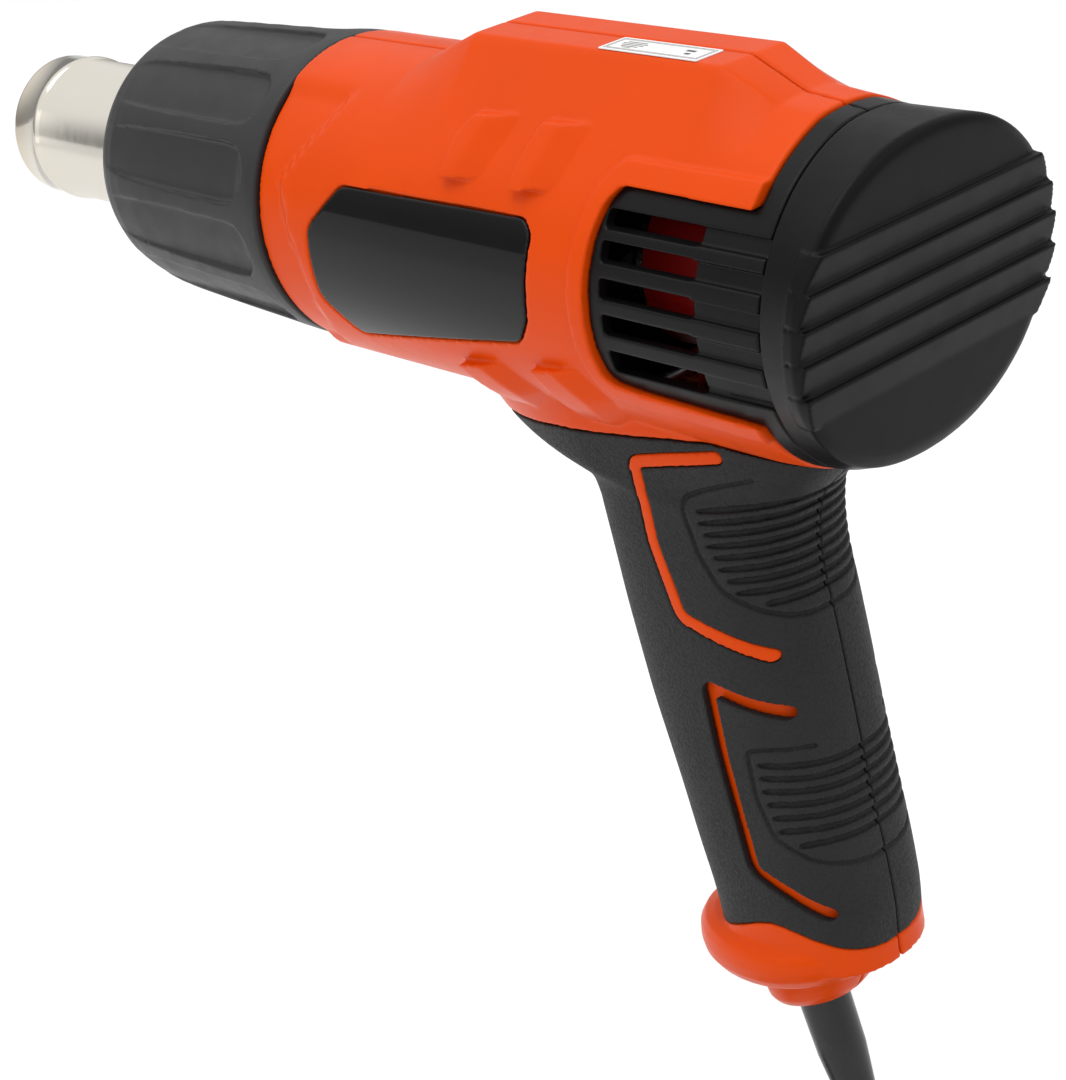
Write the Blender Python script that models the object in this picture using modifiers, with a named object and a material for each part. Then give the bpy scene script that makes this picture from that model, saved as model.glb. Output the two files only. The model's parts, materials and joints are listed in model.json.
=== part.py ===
"""Hot-air gun with a pistol grip, as an assembly of separate solids.

Design coordinates are millimetres: X runs along the barrel from the rear cap
to the nozzle, Y to the tool's left, Z up, and the barrel's axis is Y = Z = 0.
Everything is written out in metres with the origin moved to the middle of the
grip, where a hand holds the tool.
"""
import bpy
import bmesh
import math
import numpy as np
from mathutils import Vector

# ---------------------------------------------------------------- dimensions
GRIP = (53.0, 0.0, -98.0)      # middle of the grip, the part's origin
BODY_R = 35.3                  # barrel radius
WALL = 2.5                     # moulded wall
HUMP_TOP = 43.2                # height of the flat on top of the barrel
HUMP_HALF = 9.2                # half width of that flat
CAP_JOIN = 12.0                # rear cap meets the intake band
BAND_END = 17.4                # intake band meets the housing
BODY_END = 161.6               # housing meets the heat guard
FACE_RY, FACE_RZ, FACE_Z = 38.1, 32.9, 1.5
FACE_TILT = 5.0                # degrees, the top of the rear face is further back
RUBBER = 2.2                   # thickness of the grip's rubber
CORE_WALL = 2.2                # wall of the handle's hard core
GAP = 0.3                      # clearance between neighbouring pieces
NOZZLE_R = 17.8                # steel nozzle, outside radius
NOZZLE_WALL = 1.0
TIP = 285.6                    # front end of the nozzle
GUARD_FRONT = 232.0
SWITCH_TRAVEL = 10.0
CORD_R = 3.75
FLOOR_Z = -274.0               # what the spare cord lies on
COIL_X, COIL_Y = -24.0, 40.0   # middle of the coil of spare cord
HALF_GAP = 0.15                # each shell half stops this far from the middle plane

for o in list(bpy.data.objects):
    bpy.data.objects.remove(o, do_unlink=True)
for c in list(bpy.data.collections):
    bpy.data.collections.remove(c)
PARTS = bpy.data.collections.new("hot_air_gun")
CUTS = bpy.data.collections.new("cutters")
bpy.context.scene.collection.children.link(PARTS)
bpy.context.scene.collection.children.link(CUTS)


# ---------------------------------------------------------------- helpers
def m(p):
    """Design millimetres to metres about the grip."""
    return Vector(((p[0] - GRIP[0]) * 0.001, (p[1] - GRIP[1]) * 0.001, (p[2] - GRIP[2]) * 0.001))


def lerp(x, xs, ys):
    return float(np.interp(x, xs, ys))


def smooth(t):
    t = min(1.0, max(0.0, t))
    return t * t * (3 - 2 * t)


MATS = {}


def mat(name, rgb, rough=0.5, metal=0.0):
    if name not in MATS:
        mt = bpy.data.materials.new(name)
        mt.use_nodes = True
        b = mt.node_tree.nodes["Principled BSDF"]
        b.inputs["Base Color"].default_value = (*rgb, 1.0)
        b.inputs["Roughness"].default_value = rough
        b.inputs["Metallic"].default_value = metal
        MATS[name] = mt
    return MATS[name]


ORANGE = mat("orange_plastic", (0.80, 0.09, 0.004), 0.38)
BLACK = mat("black_plastic", (0.022, 0.022, 0.024), 0.42)
GREY = mat("guard_plastic", (0.045, 0.045, 0.048), 0.50)
RUBBER_M = mat("grip_rubber", (0.035, 0.036, 0.038), 0.72)
GLOSS = mat("badge_gloss", (0.006, 0.006, 0.007), 0.08)
STEEL = mat("nozzle_steel", (0.75, 0.73, 0.68), 0.18, 1.0)
ZINC = mat("zinc_steel", (0.60, 0.60, 0.62), 0.35, 1.0)
COPPER = mat("copper", (0.85, 0.42, 0.22), 0.35, 1.0)
MICA = mat("mica", (0.62, 0.55, 0.42), 0.6)
CERAMIC = mat("ceramic", (0.85, 0.83, 0.78), 0.6)
RED = mat("red_plastic", (0.55, 0.02, 0.012), 0.4)
GREEN = mat("board", (0.03, 0.16, 0.06), 0.45)
PAPER = mat("label", (0.85, 0.85, 0.84), 0.45)
PVC = mat("cord_pvc", (0.015, 0.015, 0.016), 0.35)
CARBON = mat("carbon", (0.03, 0.03, 0.03), 0.6)
NICKEL = mat("heater_wire", (0.45, 0.40, 0.36), 0.45, 1.0)
MAGNET = mat("ferrite", (0.05, 0.05, 0.055), 0.7)
BLUE = mat("blue_wire", (0.02, 0.09, 0.45), 0.4)


def place(ob, cut=False, material=None):
    for c in list(ob.users_collection):
        c.objects.unlink(ob)
    (CUTS if cut else PARTS).objects.link(ob)
    if cut:
        ob.hide_render = True
        ob.display_type = 'WIRE'
    if material is not None:
        ob.data.materials.clear()
        ob.data.materials.append(material)
    return ob


def from_bm(name, bm, material=None, cut=False, smooth_deg=None):
    bmesh.ops.recalc_face_normals(bm, faces=bm.faces)
    me = bpy.data.meshes.new(name)
    bm.to_mesh(me)
    bm.free()
    if smooth_deg:
        me.shade_smooth()
        me.set_sharp_from_angle(angle=math.radians(smooth_deg))
    ob = bpy.data.objects.new(name, me)
    bpy.context.scene.collection.objects.link(ob)
    return place(ob, cut, material)


def loft(name, rings, material=None, cut=False, smooth_deg=35):
    """A closed solid through rings of equal point counts (unlike sections)."""
    bm = bmesh.new()
    rows = [[bm.verts.new(m(p)) for p in r] for r in rings]
    n = len(rows[0])
    for a, b in zip(rows, rows[1:]):
        for i in range(n):
            bm.faces.new((a[i], a[(i + 1) % n], b[(i + 1) % n], b[i]))
    bm.faces.new(rows[0])
    bm.faces.new(list(reversed(rows[-1])))
    return from_bm(name, bm, material, cut, smooth_deg)


def box(name, lo, hi, material=None, cut=False, bevel=0.0, rot=None, at=None):
    """A primitive cube sized lo..hi in design mm, turned about its own middle."""
    bpy.ops.mesh.primitive_cube_add(size=1.0)
    ob = bpy.context.active_object
    ob.name = name
    ob.data.name = name
    size = [(h - l) * 0.001 for l, h in zip(lo, hi)]
    for v in ob.data.vertices:
        v.co = Vector((v.co.x * size[0], v.co.y * size[1], v.co.z * size[2]))
    ob.location = m([(l + h) / 2 for l, h in zip(lo, hi)])
    if rot:
        ob.rotation_euler = rot
    if bevel:
        b = ob.modifiers.new("edge", 'BEVEL')
        b.width = bevel * 0.001
        b.segments = 2
    return place(ob, cut, material)


def rod(name, p0, p1, r, material=None, cut=False, segs=20, r2=None):
    """A primitive cylinder (or cone) from p0 to p1 in design mm."""
    a, b = m(p0), m(p1)
    d = b - a
    if r2 is None:
        bpy.ops.mesh.primitive_cylinder_add(vertices=segs, radius=r * 0.001, depth=d.length)
    else:
        bpy.ops.mesh.primitive_cone_add(vertices=segs, radius1=r * 0.001, radius2=r2 * 0.001, depth=d.length)
    ob = bpy.context.active_object
    ob.name = name
    ob.data.name = name
    ob.rotation_mode = 'QUATERNION'
    ob.rotation_quaternion = Vector((0, 0, 1)).rotation_difference(d.normalized())
    ob.location = (a + b) / 2
    ob.data.shade_smooth()
    ob.data.set_sharp_from_angle(angle=math.radians(35))
    return place(ob, cut, material)


def turned(name, prof, at, axis=(1, 0, 0), material=None, cut=False, steps=40, closed=True):
    """A profile of (radius, height) turned with a Screw modifier.

    The profile runs down its outer side, top to bottom, then up its bore."""
    me = bpy.data.meshes.new(name)
    vs = [(r * 0.001, 0.0, h * 0.001) for r, h in prof]
    n = len(vs)
    es = [(i, i + 1) for i in range(n - 1)] + ([(n - 1, 0)] if closed else [])
    me.from_pydata(vs, es, [])
    ob = bpy.data.objects.new(name, me)
    bpy.context.scene.collection.objects.link(ob)
    ob.rotation_mode = 'QUATERNION'
    ob.rotation_quaternion = Vector((0, 0, 1)).rotation_difference(Vector(axis).normalized())
    ob.location = m(at)
    s = ob.modifiers.new("turn", 'SCREW')
    s.axis = 'Z'
    s.angle = 2 * math.pi
    s.steps = s.render_steps = steps
    s.use_merge_vertices = True
    s.merge_threshold = 0.000001
    s.use_normal_calculate = False
    s.use_smooth_shade = True
    return place(ob, cut, material)


def prism(name, outline, y0, y1, material=None, cut=False):
    """A flat outline in X and Z, extruded along Y (a filled 2D curve made solid)."""
    cu = bpy.data.curves.new(name, 'CURVE')
    cu.dimensions = '2D'
    cu.fill_mode = 'BOTH'
    cu.extrude = abs(y1 - y0) * 0.0005
    sp = cu.splines.new('POLY')
    sp.points.add(len(outline) - 1)
    for p, (x, z) in zip(sp.points, outline):
        q = m((x, 0, z))
        p.co = (q.x, q.z, 0.0, 1.0)
    sp.use_cyclic_u = True
    tmp = bpy.data.objects.new(name + "_c", cu)
    bpy.context.scene.collection.objects.link(tmp)
    tmp.rotation_euler = (math.pi / 2, 0, 0)
    tmp.location = (0, m((0, (y0 + y1) / 2, 0)).y, 0)
    return solidify_curve(tmp, name, material, cut)


def solidify_curve(tmp, name, material, cut, dist=0.000002):
    bpy.context.view_layer.update()
    dg = bpy.context.evaluated_depsgraph_get()
    me = bpy.data.meshes.new_from_object(tmp.evaluated_get(dg))
    mw = tmp.matrix_world.copy()
    bpy.data.objects.remove(tmp, do_unlink=True)
    bm = bmesh.new()
    bm.from_mesh(me)
    bmesh.ops.remove_doubles(bm, verts=bm.verts, dist=dist)
    bmesh.ops.recalc_face_normals(bm, faces=bm.faces)
    bm.to_mesh(me)
    bm.free()
    me.name = name
    ob = bpy.data.objects.new(name, me)
    bpy.context.scene.collection.objects.link(ob)
    ob.matrix_world = mw
    return place(ob, cut, material)


def wire(name, pts, r, material, res=2):
    """A round tube along design points: a curve with a bevel depth and caps."""
    cu = bpy.data.curves.new(name, 'CURVE')
    cu.dimensions = '3D'
    cu.bevel_depth = r * 0.001
    cu.bevel_resolution = res
    cu.use_fill_caps = True
    sp = cu.splines.new('POLY')
    sp.points.add(len(pts) - 1)
    for p, q in zip(sp.points, pts):
        p.co = (*m(q), 1.0)
    ob = bpy.data.objects.new(name, cu)
    bpy.context.scene.collection.objects.link(ob)
    return place(ob, False, material)


def spline(pts, step):
    """Catmull-Rom through pts, resampled every step mm."""
    P = [np.array(p, float) for p in pts]
    P = [2 * P[0] - P[1]] + P + [2 * P[-1] - P[-2]]
    out = []
    for i in range(1, len(P) - 2):
        for k in range(24):
            t = k / 24
            a, b, c, d = P[i - 1], P[i], P[i + 1], P[i + 2]
            out.append(0.5 * (2 * b + (c - a) * t + (2 * a - 5 * b + 4 * c - d) * t * t
                              + (3 * b - a - 3 * c + d) * t ** 3))
    out.append(P[-2])
    A = np.array(out)
    L = np.concatenate([[0], np.cumsum(np.linalg.norm(np.diff(A, axis=0), axis=1))])
    n = max(2, int(round(L[-1] / step)) + 1)
    s = np.linspace(0, L[-1], n)
    return np.stack([np.interp(s, L, A[:, k]) for k in range(3)], 1), float(L[-1])


def boole(ob, other, op):
    b = ob.modifiers.new(op.lower(), 'BOOLEAN')
    b.operation = op
    b.solver = 'EXACT'
    b.object = other
    return ob


def inset(poly, d):
    """Move each edge of a closed outline inward by d."""
    P = [np.array(p, float) for p in poly]
    n = len(P)
    area = sum(P[i][0] * P[(i + 1) % n][1] - P[(i + 1) % n][0] * P[i][1] for i in range(n))
    sg = 1.0 if area > 0 else -1.0
    out = []
    for i in range(n):
        a, b, c = P[i - 1], P[i], P[(i + 1) % n]
        e1, e2 = (b - a) / np.linalg.norm(b - a), (c - b) / np.linalg.norm(c - b)
        n1, n2 = sg * np.array([-e1[1], e1[0]]), sg * np.array([-e2[1], e2[0]])
        k = (n1 + n2) / (1 + float(n1 @ n2))
        out.append(tuple(b + d * k))
    return out


# ---------------------------------------------------------------- surfaces
def hump_weight(x):
    return lerp(x, [10, 16, 27, 40, 109, 129, 135], [0, 0.10, 0.25, 1, 1, 0, 0])


def body_radius(x, th, off=0.0):
    """Barrel section: a circle with a flat-topped hump and a fuller underside."""
    s = math.sin(th)
    r = BODY_R
    if s < 0:
        r += 2.0 * s * s * smooth((x - 8) / 20)
    if s > 0:
        deg = math.degrees(th) if math.degrees(th) <= 90 else 180 - math.degrees(th)
        t0, t1 = 41.1, 78.0
        rh = BODY_R
        if deg >= t1:
            rh = HUMP_TOP / s
        elif deg > t0:
            rh = BODY_R / math.cos(math.radians(deg - t0))
        r += hump_weight(x) * (rh - BODY_R)
    return r - off


def body_ring(x, off=0.0, n=40):
    out = []
    for i in range(n):
        th = 2 * math.pi * (i + 0.5) / n - math.pi / 2
        if th > math.pi:
            th -= 2 * math.pi
        r = body_radius(x, th if th > -math.pi else th + 2 * math.pi, off)
        out.append((x, r * math.cos(th), r * math.sin(th)))
    return out


BODY_X = [-4, 4, CAP_JOIN, BAND_END, 22, 27, 33, 40, 60, 85, 109, 119, 129, 145, BODY_END]


def barrel(name, off, x0, x1, cut=True):
    xs = [x0] + [x for x in BODY_X if x0 + 1.0 < x < x1 - 1.0] + [x1]
    return loft(name, [body_ring(x, off) for x in xs], cut=cut)


# handle: horizontal sections by height (front x, rear x, half width, point of the bow)
HZ = [-168, -151, -145, -133, -120, -110, -99, -88, -77, -64, -57, -53, -49, -46.8, -45.5, -43, -38, -30, -20]
HF = [62.0, 64.7, 65.8, 69.5, 72.7, 75.6, 78.9, 81.3, 83.7, 85.8, 87.2, 88.0, 90.5, 97, 112, 125, 132, 138, 142]
HR = [18.0, 20.8, 20.2, 21.6, 23.9, 25.5, 27.2, 28.8, 30.5, 33.0, 33.2, 32.8, 32.0, 31.0, 30.0, 27.5, 22.5, 19.5, 19.0]
HB = [19.0, 19.5, 19.5, 19.7, 19.9, 20.0, 20.1, 20.2, 20.3, 20.4, 20.5, 20.5, 20.6, 20.8, 21.0, 21.3, 21.8, 22.5, 23.0]
HK = [0, 0, 0, 0, 0, 0, 0, 0, 0, 0, 0, 0, 0.05, 0.2, 0.45, 0.6, 0.65, 0.65, 0.65]


def handle_ring(z, off=0.0, n=24):
    xf, xr, b, k = (lerp(z, HZ, t) for t in (HF, HR, HB, HK))
    xc, a = (xf + xr) / 2, (xf - xr) / 2 - off
    b -= off
    e = 2 / 2.4
    out = []
    for i in range(n):
        p = 2 * math.pi * (i + 0.5) / n
        c, s = math.cos(p), math.sin(p)
        x = a * math.copysign(abs(c) ** e, c)
        y = b * math.copysign(abs(s) ** e, s)
        if x > 0:
            y *= 1 - k * (x / a) ** 1.5
        out.append((xc + x, y, z))
    return out


H_LEVELS = [-166, -151, -133, -110, -88, -64, -57, -53, -49, -46.8, -45.5, -43, -38, -30, -22]


def handle(name, off, z0, z1, cut=True, drop=0.0):
    zs = [z0] + [z for z in H_LEVELS if z0 + 0.6 < z < z1 - 0.6] + [z1]
    return loft(name, [[(x, y, z - drop) for x, y, z in handle_ring(zz, off)] for zz in zs], cut=cut)


def ell(xc, zc, k, rf, rr, ry, n=28):
    out = []
    for i in range(n):
        p = 2 * math.pi * (i + 0.5) / n
        c, s = math.cos(p), math.sin(p)
        x = (rf if c > 0 else rr) * c
        out.append((xc + x, ry * s, zc + k * x))
    return out


def seam(x):
    """Height of the line where the orange housing stops and the rubber starts."""
    return lerp(x, [10, 22, 33, 54, 86, 108, 123, 140], [-33.5, -34.6, -30.2, -32.2, -36.0, -40.5, -44.6, -49])


def above_seam(name, d, y=60.0):
    """Everything above the seam line, as a prism."""
    xs = [0, 10, 22, 33, 54, 86, 108, 123, 150]
    o = [(x, seam(x) + d) for x in xs] + [(150, 60), (0, 60)]
    return prism(name, o, -y, y, cut=True)


WINDOW = [(8.0, 23.4), (51.3, 23.5), (54.0, 20.5), (55.7, 14.2), (56.8, 5.5), (57.2, -2.0), (57.2, -9.0),
          (56.3, -14.5), (54.0, -16.3), (46.8, -17.1), (23.4, -17.9), (8.0, -19.0)]
BADGE = [(132.6, 14.1), (75.5, 15.1), (72.8, 12.3), (73.7, 6.2), (75.2, -5.9), (79.8, -12.1), (137.8, -22.3),
         (145.0, -13.1), (143.4, 3.9)]
SLOTS = [(18.9, 16.0), (13.3, 9.9), (6.3, 2.8), (-1.0, -4.6), (-8.6, -13.0)]

# ---------------------------------------------------------------- shared cutters
half = {
    "left": box("half_left", (-40, HALF_GAP, -220), (300, 90, 90), cut=True),
    "right": box("half_right", (-40, -90, -220), (300, -HALF_GAP, 90), cut=True),
}
SIGN = {"left": 1, "right": -1}

bodyout = barrel("barrel_outside", 0.0, BAND_END + GAP, BODY_END)
bodyin = barrel("barrel_inside", WALL, BAND_END - 6, BODY_END + 8)
core = handle("core_outside", RUBBER, -167, -22)
corein = handle("core_inside", RUBBER + CORE_WALL, -164, -26)
root = handle("root_outside", 0.0, -60, -22)
boole(root, above_seam("seam_orange", 0.0), 'INTERSECT')
collar = loft("base_collar", [
    ell(43.0, -155.9, 0.12, 17, 15, 15),
    ell(43.0, -156.3, 0.12, 24, 20.5, 20.6),
    ell(43.0, -158.2, 0.12, 30, 21.6, 22.0),
    ell(43.0, -162.0, 0.08, 31, 22.0, 22.4),
    ell(43.2, -166.0, 0.0, 25, 18.5, 18.5),
    ell(44.5, -168.6, 0.0, 12.4, 11.4, 11.4),
    ell(45.0, -176.0, 0.0, 8.8, 8.8, 8.8)], cut=True)
BOOT_HOLE = Vector((-0.30, 0.0, -0.954)).normalized()
cone_hole = rod("cone_hole", tuple(Vector((44.2, 0, -176)) + BOOT_HOLE * 16), tuple(Vector((44.2, 0, -176)) - BOOT_HOLE * 17.5), 6.4, cut=True, segs=28)

# ---------------------------------------------------------------- screws
# (x, z, y of the head's seat on the right-hand side, how far out the boss runs into the wall)
SCREWS = [(66, -26.5, -16.5, 20.5), (128, -29.5, -9.5, 14.5), (134, 28.0, -9.5, 14.0), (66, 31.0, -9.5, 15.0),
          (57, -100.0, -12.0, 17.2), (38, -146.0, -10.5, 16.4)]
BOSS = 3.4


def bosses(side):
    """Screw bosses on a shell half, as cutters to be joined to it."""
    s = SIGN[side]
    out = []
    for i, (x, z, seat, far) in enumerate(SCREWS):
        out.append(rod(f"boss_{side}_{i}", (x, s * (HALF_GAP), z), (x, s * far, z), BOSS, cut=True, segs=10))
    return out


# ---------------------------------------------------------------- housing halves
for side in ("left", "right"):
    s = SIGN[side]
    h = barrel(f"housing_{side}", 0.0, BAND_END + GAP, BODY_END, cut=False)
    place(h, False, ORANGE)
    boole(h, root, 'UNION')
    boole(h, core, 'UNION')
    boole(h, collar, 'UNION')
    boole(h, bodyin, 'DIFFERENCE')
    boole(h, corein, 'DIFFERENCE')
    boole(h, cone_hole, 'DIFFERENCE')
    boole(h, prism(f"window_{side}", WINDOW, *sorted((s * 14, s * 60)), cut=True), 'DIFFERENCE')
    # pocket for the badge, one millimetre deep
    pocket = prism(f"pocket_{side}", BADGE, *sorted((s * 10, s * 60)), cut=True)
    boole(pocket, barrel(f"pocket_floor_{side}", 1.2, 60, 158), 'DIFFERENCE')
    boole(h, pocket, 'DIFFERENCE')
    for b in bosses(side):
        boole(h, b, 'UNION')
    boole(h, half[side], 'INTERSECT')
    for i, (x, z, seat, far) in enumerate(SCREWS):
        if side == "right":
            boole(h, rod(f"shank_hole_r{i}", (x, 2, z), (x, -60, z), 1.75, cut=True, segs=10), 'DIFFERENCE')
            boole(h, rod(f"head_hole_r{i}", (x, seat, z), (x, -60, z), 3.0, cut=True, segs=12), 'DIFFERENCE')
        else:
            boole(h, rod(f"shank_hole_l{i}", (x, -2, z), (x, abs(seat) + 2.4, z), 1.75, cut=True, segs=10),
                  'DIFFERENCE')

# slot in the front of the handle for the switch
FRONT_DIR = Vector((0.176, 0, 0.984)).normalized()      # the way the switch slides
SW = (84.3, 0.0, -69.0)                                 # middle of the switch's slot
ang = math.atan2(FRONT_DIR.x, FRONT_DIR.z)
slot_cut = box("switch_slot", (SW[0] - 9, -5.6, SW[2] - 15), (SW[0] + 9, 5.6, SW[2] + 15), cut=True, rot=(0, ang, 0))
for side in ("left", "right"):
    boole(bpy.data.objects[f"housing_{side}"], slot_cut, 'DIFFERENCE')

# ---------------------------------------------------------------- grip halves
below = prism("seam_rubber", [(x, seam(x) - GAP) for x in [0, 10, 22, 33, 54, 86, 108, 123, 150]] + [(150, -175), (0, -175)],
              -60, 60, cut=True)
coreclear = handle("core_clear", RUBBER - GAP, -167, -22, drop=0.2)
bodyclear = barrel("barrel_clear", -GAP, 10, 165)
base_cut = prism("grip_end", [(x, -155.4 + 0.12 * (x - 43)) for x in (0, 100)] + [(100, -230), (0, -230)], -60, 60,
                 cut=True)


def accent(name, pts, w, s):
    """A bent slot through the rubber, where the orange core shows."""
    P = [np.array(p, float) for p in pts]
    L, R = [], []
    for i, p in enumerate(P):
        a = P[max(0, i - 1)]
        b = P[min(len(P) - 1, i + 1)]
        t = (b - a) / np.linalg.norm(b - a)
        nrm = np.array([-t[1], t[0]])
        if 0 < i < len(P) - 1:
            t1 = (p - a) / np.linalg.norm(p - a)
            nrm = nrm / max(0.5, float(nrm @ np.array([-t1[1], t1[0]])))
        L.append(tuple(p + nrm * w / 2))
        R.append(tuple(p - nrm * w / 2))
    return prism(name, L + R[::-1], *sorted((s * 8.5, s * 50)), cut=True)


ACCENTS = [
    [(43.0, -36.6), (66.8, -39.2), (67.6, -43.5), (58.0, -70.5), (55.0, -75.2), (38.0, -77.6)],
    [(32.0, -88.6), (52.4, -88.0), (52.6, -91.0), (45.2, -128.0), (43.6, -131.0), (27.0, -134.4)],
]
for side in ("left", "right"):
    s = SIGN[side]
    g = handle(f"grip_{side}", 0.0, -164, -22, cut=False)
    place(g, False, RUBBER_M)
    boole(g, below, 'INTERSECT')
    boole(g, coreclear, 'DIFFERENCE')
    boole(g, bodyclear, 'DIFFERENCE')
    boole(g, base_cut, 'DIFFERENCE')
    boole(g, half[side], 'INTERSECT')
    boole(g, slot_cut, 'DIFFERENCE')
    for k, pts in enumerate(ACCENTS):
        boole(g, accent(f"accent_{side}_{k}", pts, 2.6, s), 'DIFFERENCE')
    if side == "right":
        for i in (4, 5):
            x, z, seat, far = SCREWS[i]
            boole(g, rod(f"grip_hole_{i}", (x, -5, z), (x, -60, z), 3.4, cut=True, segs=16), 'DIFFERENCE')

# ---------------------------------------------------------------- screws themselves
for i, (x, z, seat, far) in enumerate(SCREWS):
    y0 = seat - 0.3
    tip = abs(seat) + 1.6
    # head up (towards -Y), shank towards +Y: profile heights measured along -Y from the tip
    Ls = tip - y0
    prof = [(0, Ls + 1.9), (1.9, Ls + 1.9), (2.6, Ls + 1.3), (2.6, Ls), (1.4, Ls), (1.4, 1.2), (0.4, 0), (0, 0)]
    turned(f"housing_screw_{i + 1}", prof, (x, tip, z), axis=(0, -1, 0), material=ZINC, steps=10, closed=False)

# ---------------------------------------------------------------- badges and label
for side in ("left", "right"):
    s = SIGN[side]
    bd = prism(f"badge_{side}", inset(BADGE, 0.35), *sorted((s * 12, s * 60)))
    place(bd, False, GLOSS)
    boole(bd, barrel(f"badge_out_{side}", 0.05, 60, 158), 'INTERSECT')
    boole(bd, barrel(f"badge_in_{side}", 0.85, 58, 159), 'DIFFERENCE')
box("top_label", (46.4, 1.0, HUMP_TOP + 0.04), (73.2, 8.9, HUMP_TOP + 0.26), PAPER)

# ---------------------------------------------------------------- intake halves
for side in ("left", "right"):
    s = SIGN[side]
    p = prism(f"intake_{side}", inset(WINDOW, 0.35), *sorted((s * 14.6, s * 60)))
    place(p, False, BLACK)
    ring = box(f"band_{side}", (0, -60, -60), (BAND_END - 0.1, 60, 60), cut=True)
    boole(p, ring, 'UNION')
    boole(p, box(f"behind_{side}", (-10, -70, -70), (CAP_JOIN + GAP, 70, 70), cut=True), 'DIFFERENCE')
    boole(p, barrel(f"intake_out_{side}", 0.0, 5, 80), 'INTERSECT')
    boole(p, barrel(f"intake_in_{side}", WALL, 4, 81), 'DIFFERENCE')
    boole(p, half[side], 'INTERSECT')
    for k, (z1, z0) in enumerate(SLOTS):
        boole(p, box(f"slot_{side}_{k}", (29, *sorted((s * 20, s * 60))[:1], z0), (53.2, sorted((s * 20, s * 60))[1], z1),
                     cut=True), 'DIFFERENCE')

# ---------------------------------------------------------------- rear cap
tt = math.tan(math.radians(FACE_TILT))


def cap_ring(t, off=0.0, push=0.0, n=40):
    """t = 0 at the face, 1 where the cap meets the intake band."""
    out = []
    for i in range(n):
        th = 2 * math.pi * (i + 0.5) / n - math.pi / 2
        c, s = math.cos(th), math.sin(th)
        ry, rz = FACE_RY - off, FACE_RZ - off
        e = 2 / 2.15
        yf = ry * math.copysign(abs(c) ** e, c)
        zf = FACE_Z + rz * math.copysign(abs(s) ** e, s)
        rb = body_radius(CAP_JOIN, math.atan2(s, c), off)
        y = yf + (rb * c - yf) * t
        z = zf + (rb * s - zf) * t
        x = (-tt * (z - FACE_Z)) * (1 - t) + CAP_JOIN * t + push
        out.append((x, y, z))
    return out


cap = loft("rear_cap", [cap_ring(0.0, 1.0), cap_ring(0.1, 0.0), cap_ring(0.55, 0.0), cap_ring(1.0, 0.0)], BLACK)
capin = loft("cap_inside", [cap_ring(0.3, WALL), cap_ring(1.0, WALL), cap_ring(1.0, WALL, 6.0)], cut=True)
boole(cap, capin, 'DIFFERENCE')
RIBS = [19.2, 12.4, 5.9, -0.9, -7.8]
nrm = Vector((-math.cos(math.radians(FACE_TILT)), 0, -math.sin(math.radians(FACE_TILT))))
for k, z in enumerate(RIBS):
    # a shallow step groove right across the face
    x = -tt * (z - FACE_Z)
    boole(cap, box(f"face_groove_{k}", (x - 3.0, -60, z - 0.45), (x + 0.7, 60, z + 0.45), cut=True,
                   rot=(0, -math.radians(FACE_TILT), 0)), 'DIFFERENCE')

# ---------------------------------------------------------------- heat guard and nozzle
G0 = BODY_END + GAP
turned("heat_guard", [(20.2, GUARD_FRONT - G0), (24.0, GUARD_FRONT - G0), (28.2, 68.5), (31.0, 64.5), (32.6, 58.0),
                      (33.2, 50.0), (34.6, 18.0), (35.2, 0.0), (32.8, 0.0), (32.0, 20.0), (30.6, 50.0), (29.0, 60.0),
                      (25.5, 66.0), (20.2, 67.6)], (G0, 0, 0), material=GREY, steps=40)
for k in range(12):
    # broad flutes along the guard, each with a blunt rear end and running out towards the front
    a = math.radians(19 + 30 * k)
    fl = rod(f"flute_{k}", (170.0, 41.5 * math.cos(a), 41.5 * math.sin(a)),
             (222.0, 42.3 * math.cos(a), 42.3 * math.sin(a)), 8.4, cut=True, segs=16)
    boole(bpy.data.objects["heat_guard"], fl, 'DIFFERENCE')

N0 = 116.0
L = TIP - N0
turned("nozzle_tube", [(NOZZLE_R - NOZZLE_WALL, L), (NOZZLE_R - 0.25, L), (NOZZLE_R, L - 0.6), (NOZZLE_R, L - 8.8),
                       (NOZZLE_R + 0.55, L - 9.6), (NOZZLE_R + 0.55, L - 10.4), (NOZZLE_R, L - 11.2),
                       (NOZZLE_R, 3.0), (24.0, 2.2), (24.0, 0.0), (NOZZLE_R - NOZZLE_WALL, 0.0)],
       (N0, 0, 0), material=STEEL, steps=36)
turned("guard_bracket", [(29.4, 4.0), (29.4, 0.0), (18.5, 0.0), (18.5, 4.0)], (176.0, 0, 0), material=ZINC, steps=32)
for k in range(6):
    a = 2 * math.pi * k / 6
    boole(bpy.data.objects["guard_bracket"],
          rod(f"bracket_hole_{k}", (170, 24 * math.cos(a), 24 * math.sin(a)), (186, 24 * math.cos(a), 24 * math.sin(a)),
              3.4, cut=True, segs=12), 'DIFFERENCE')

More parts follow.
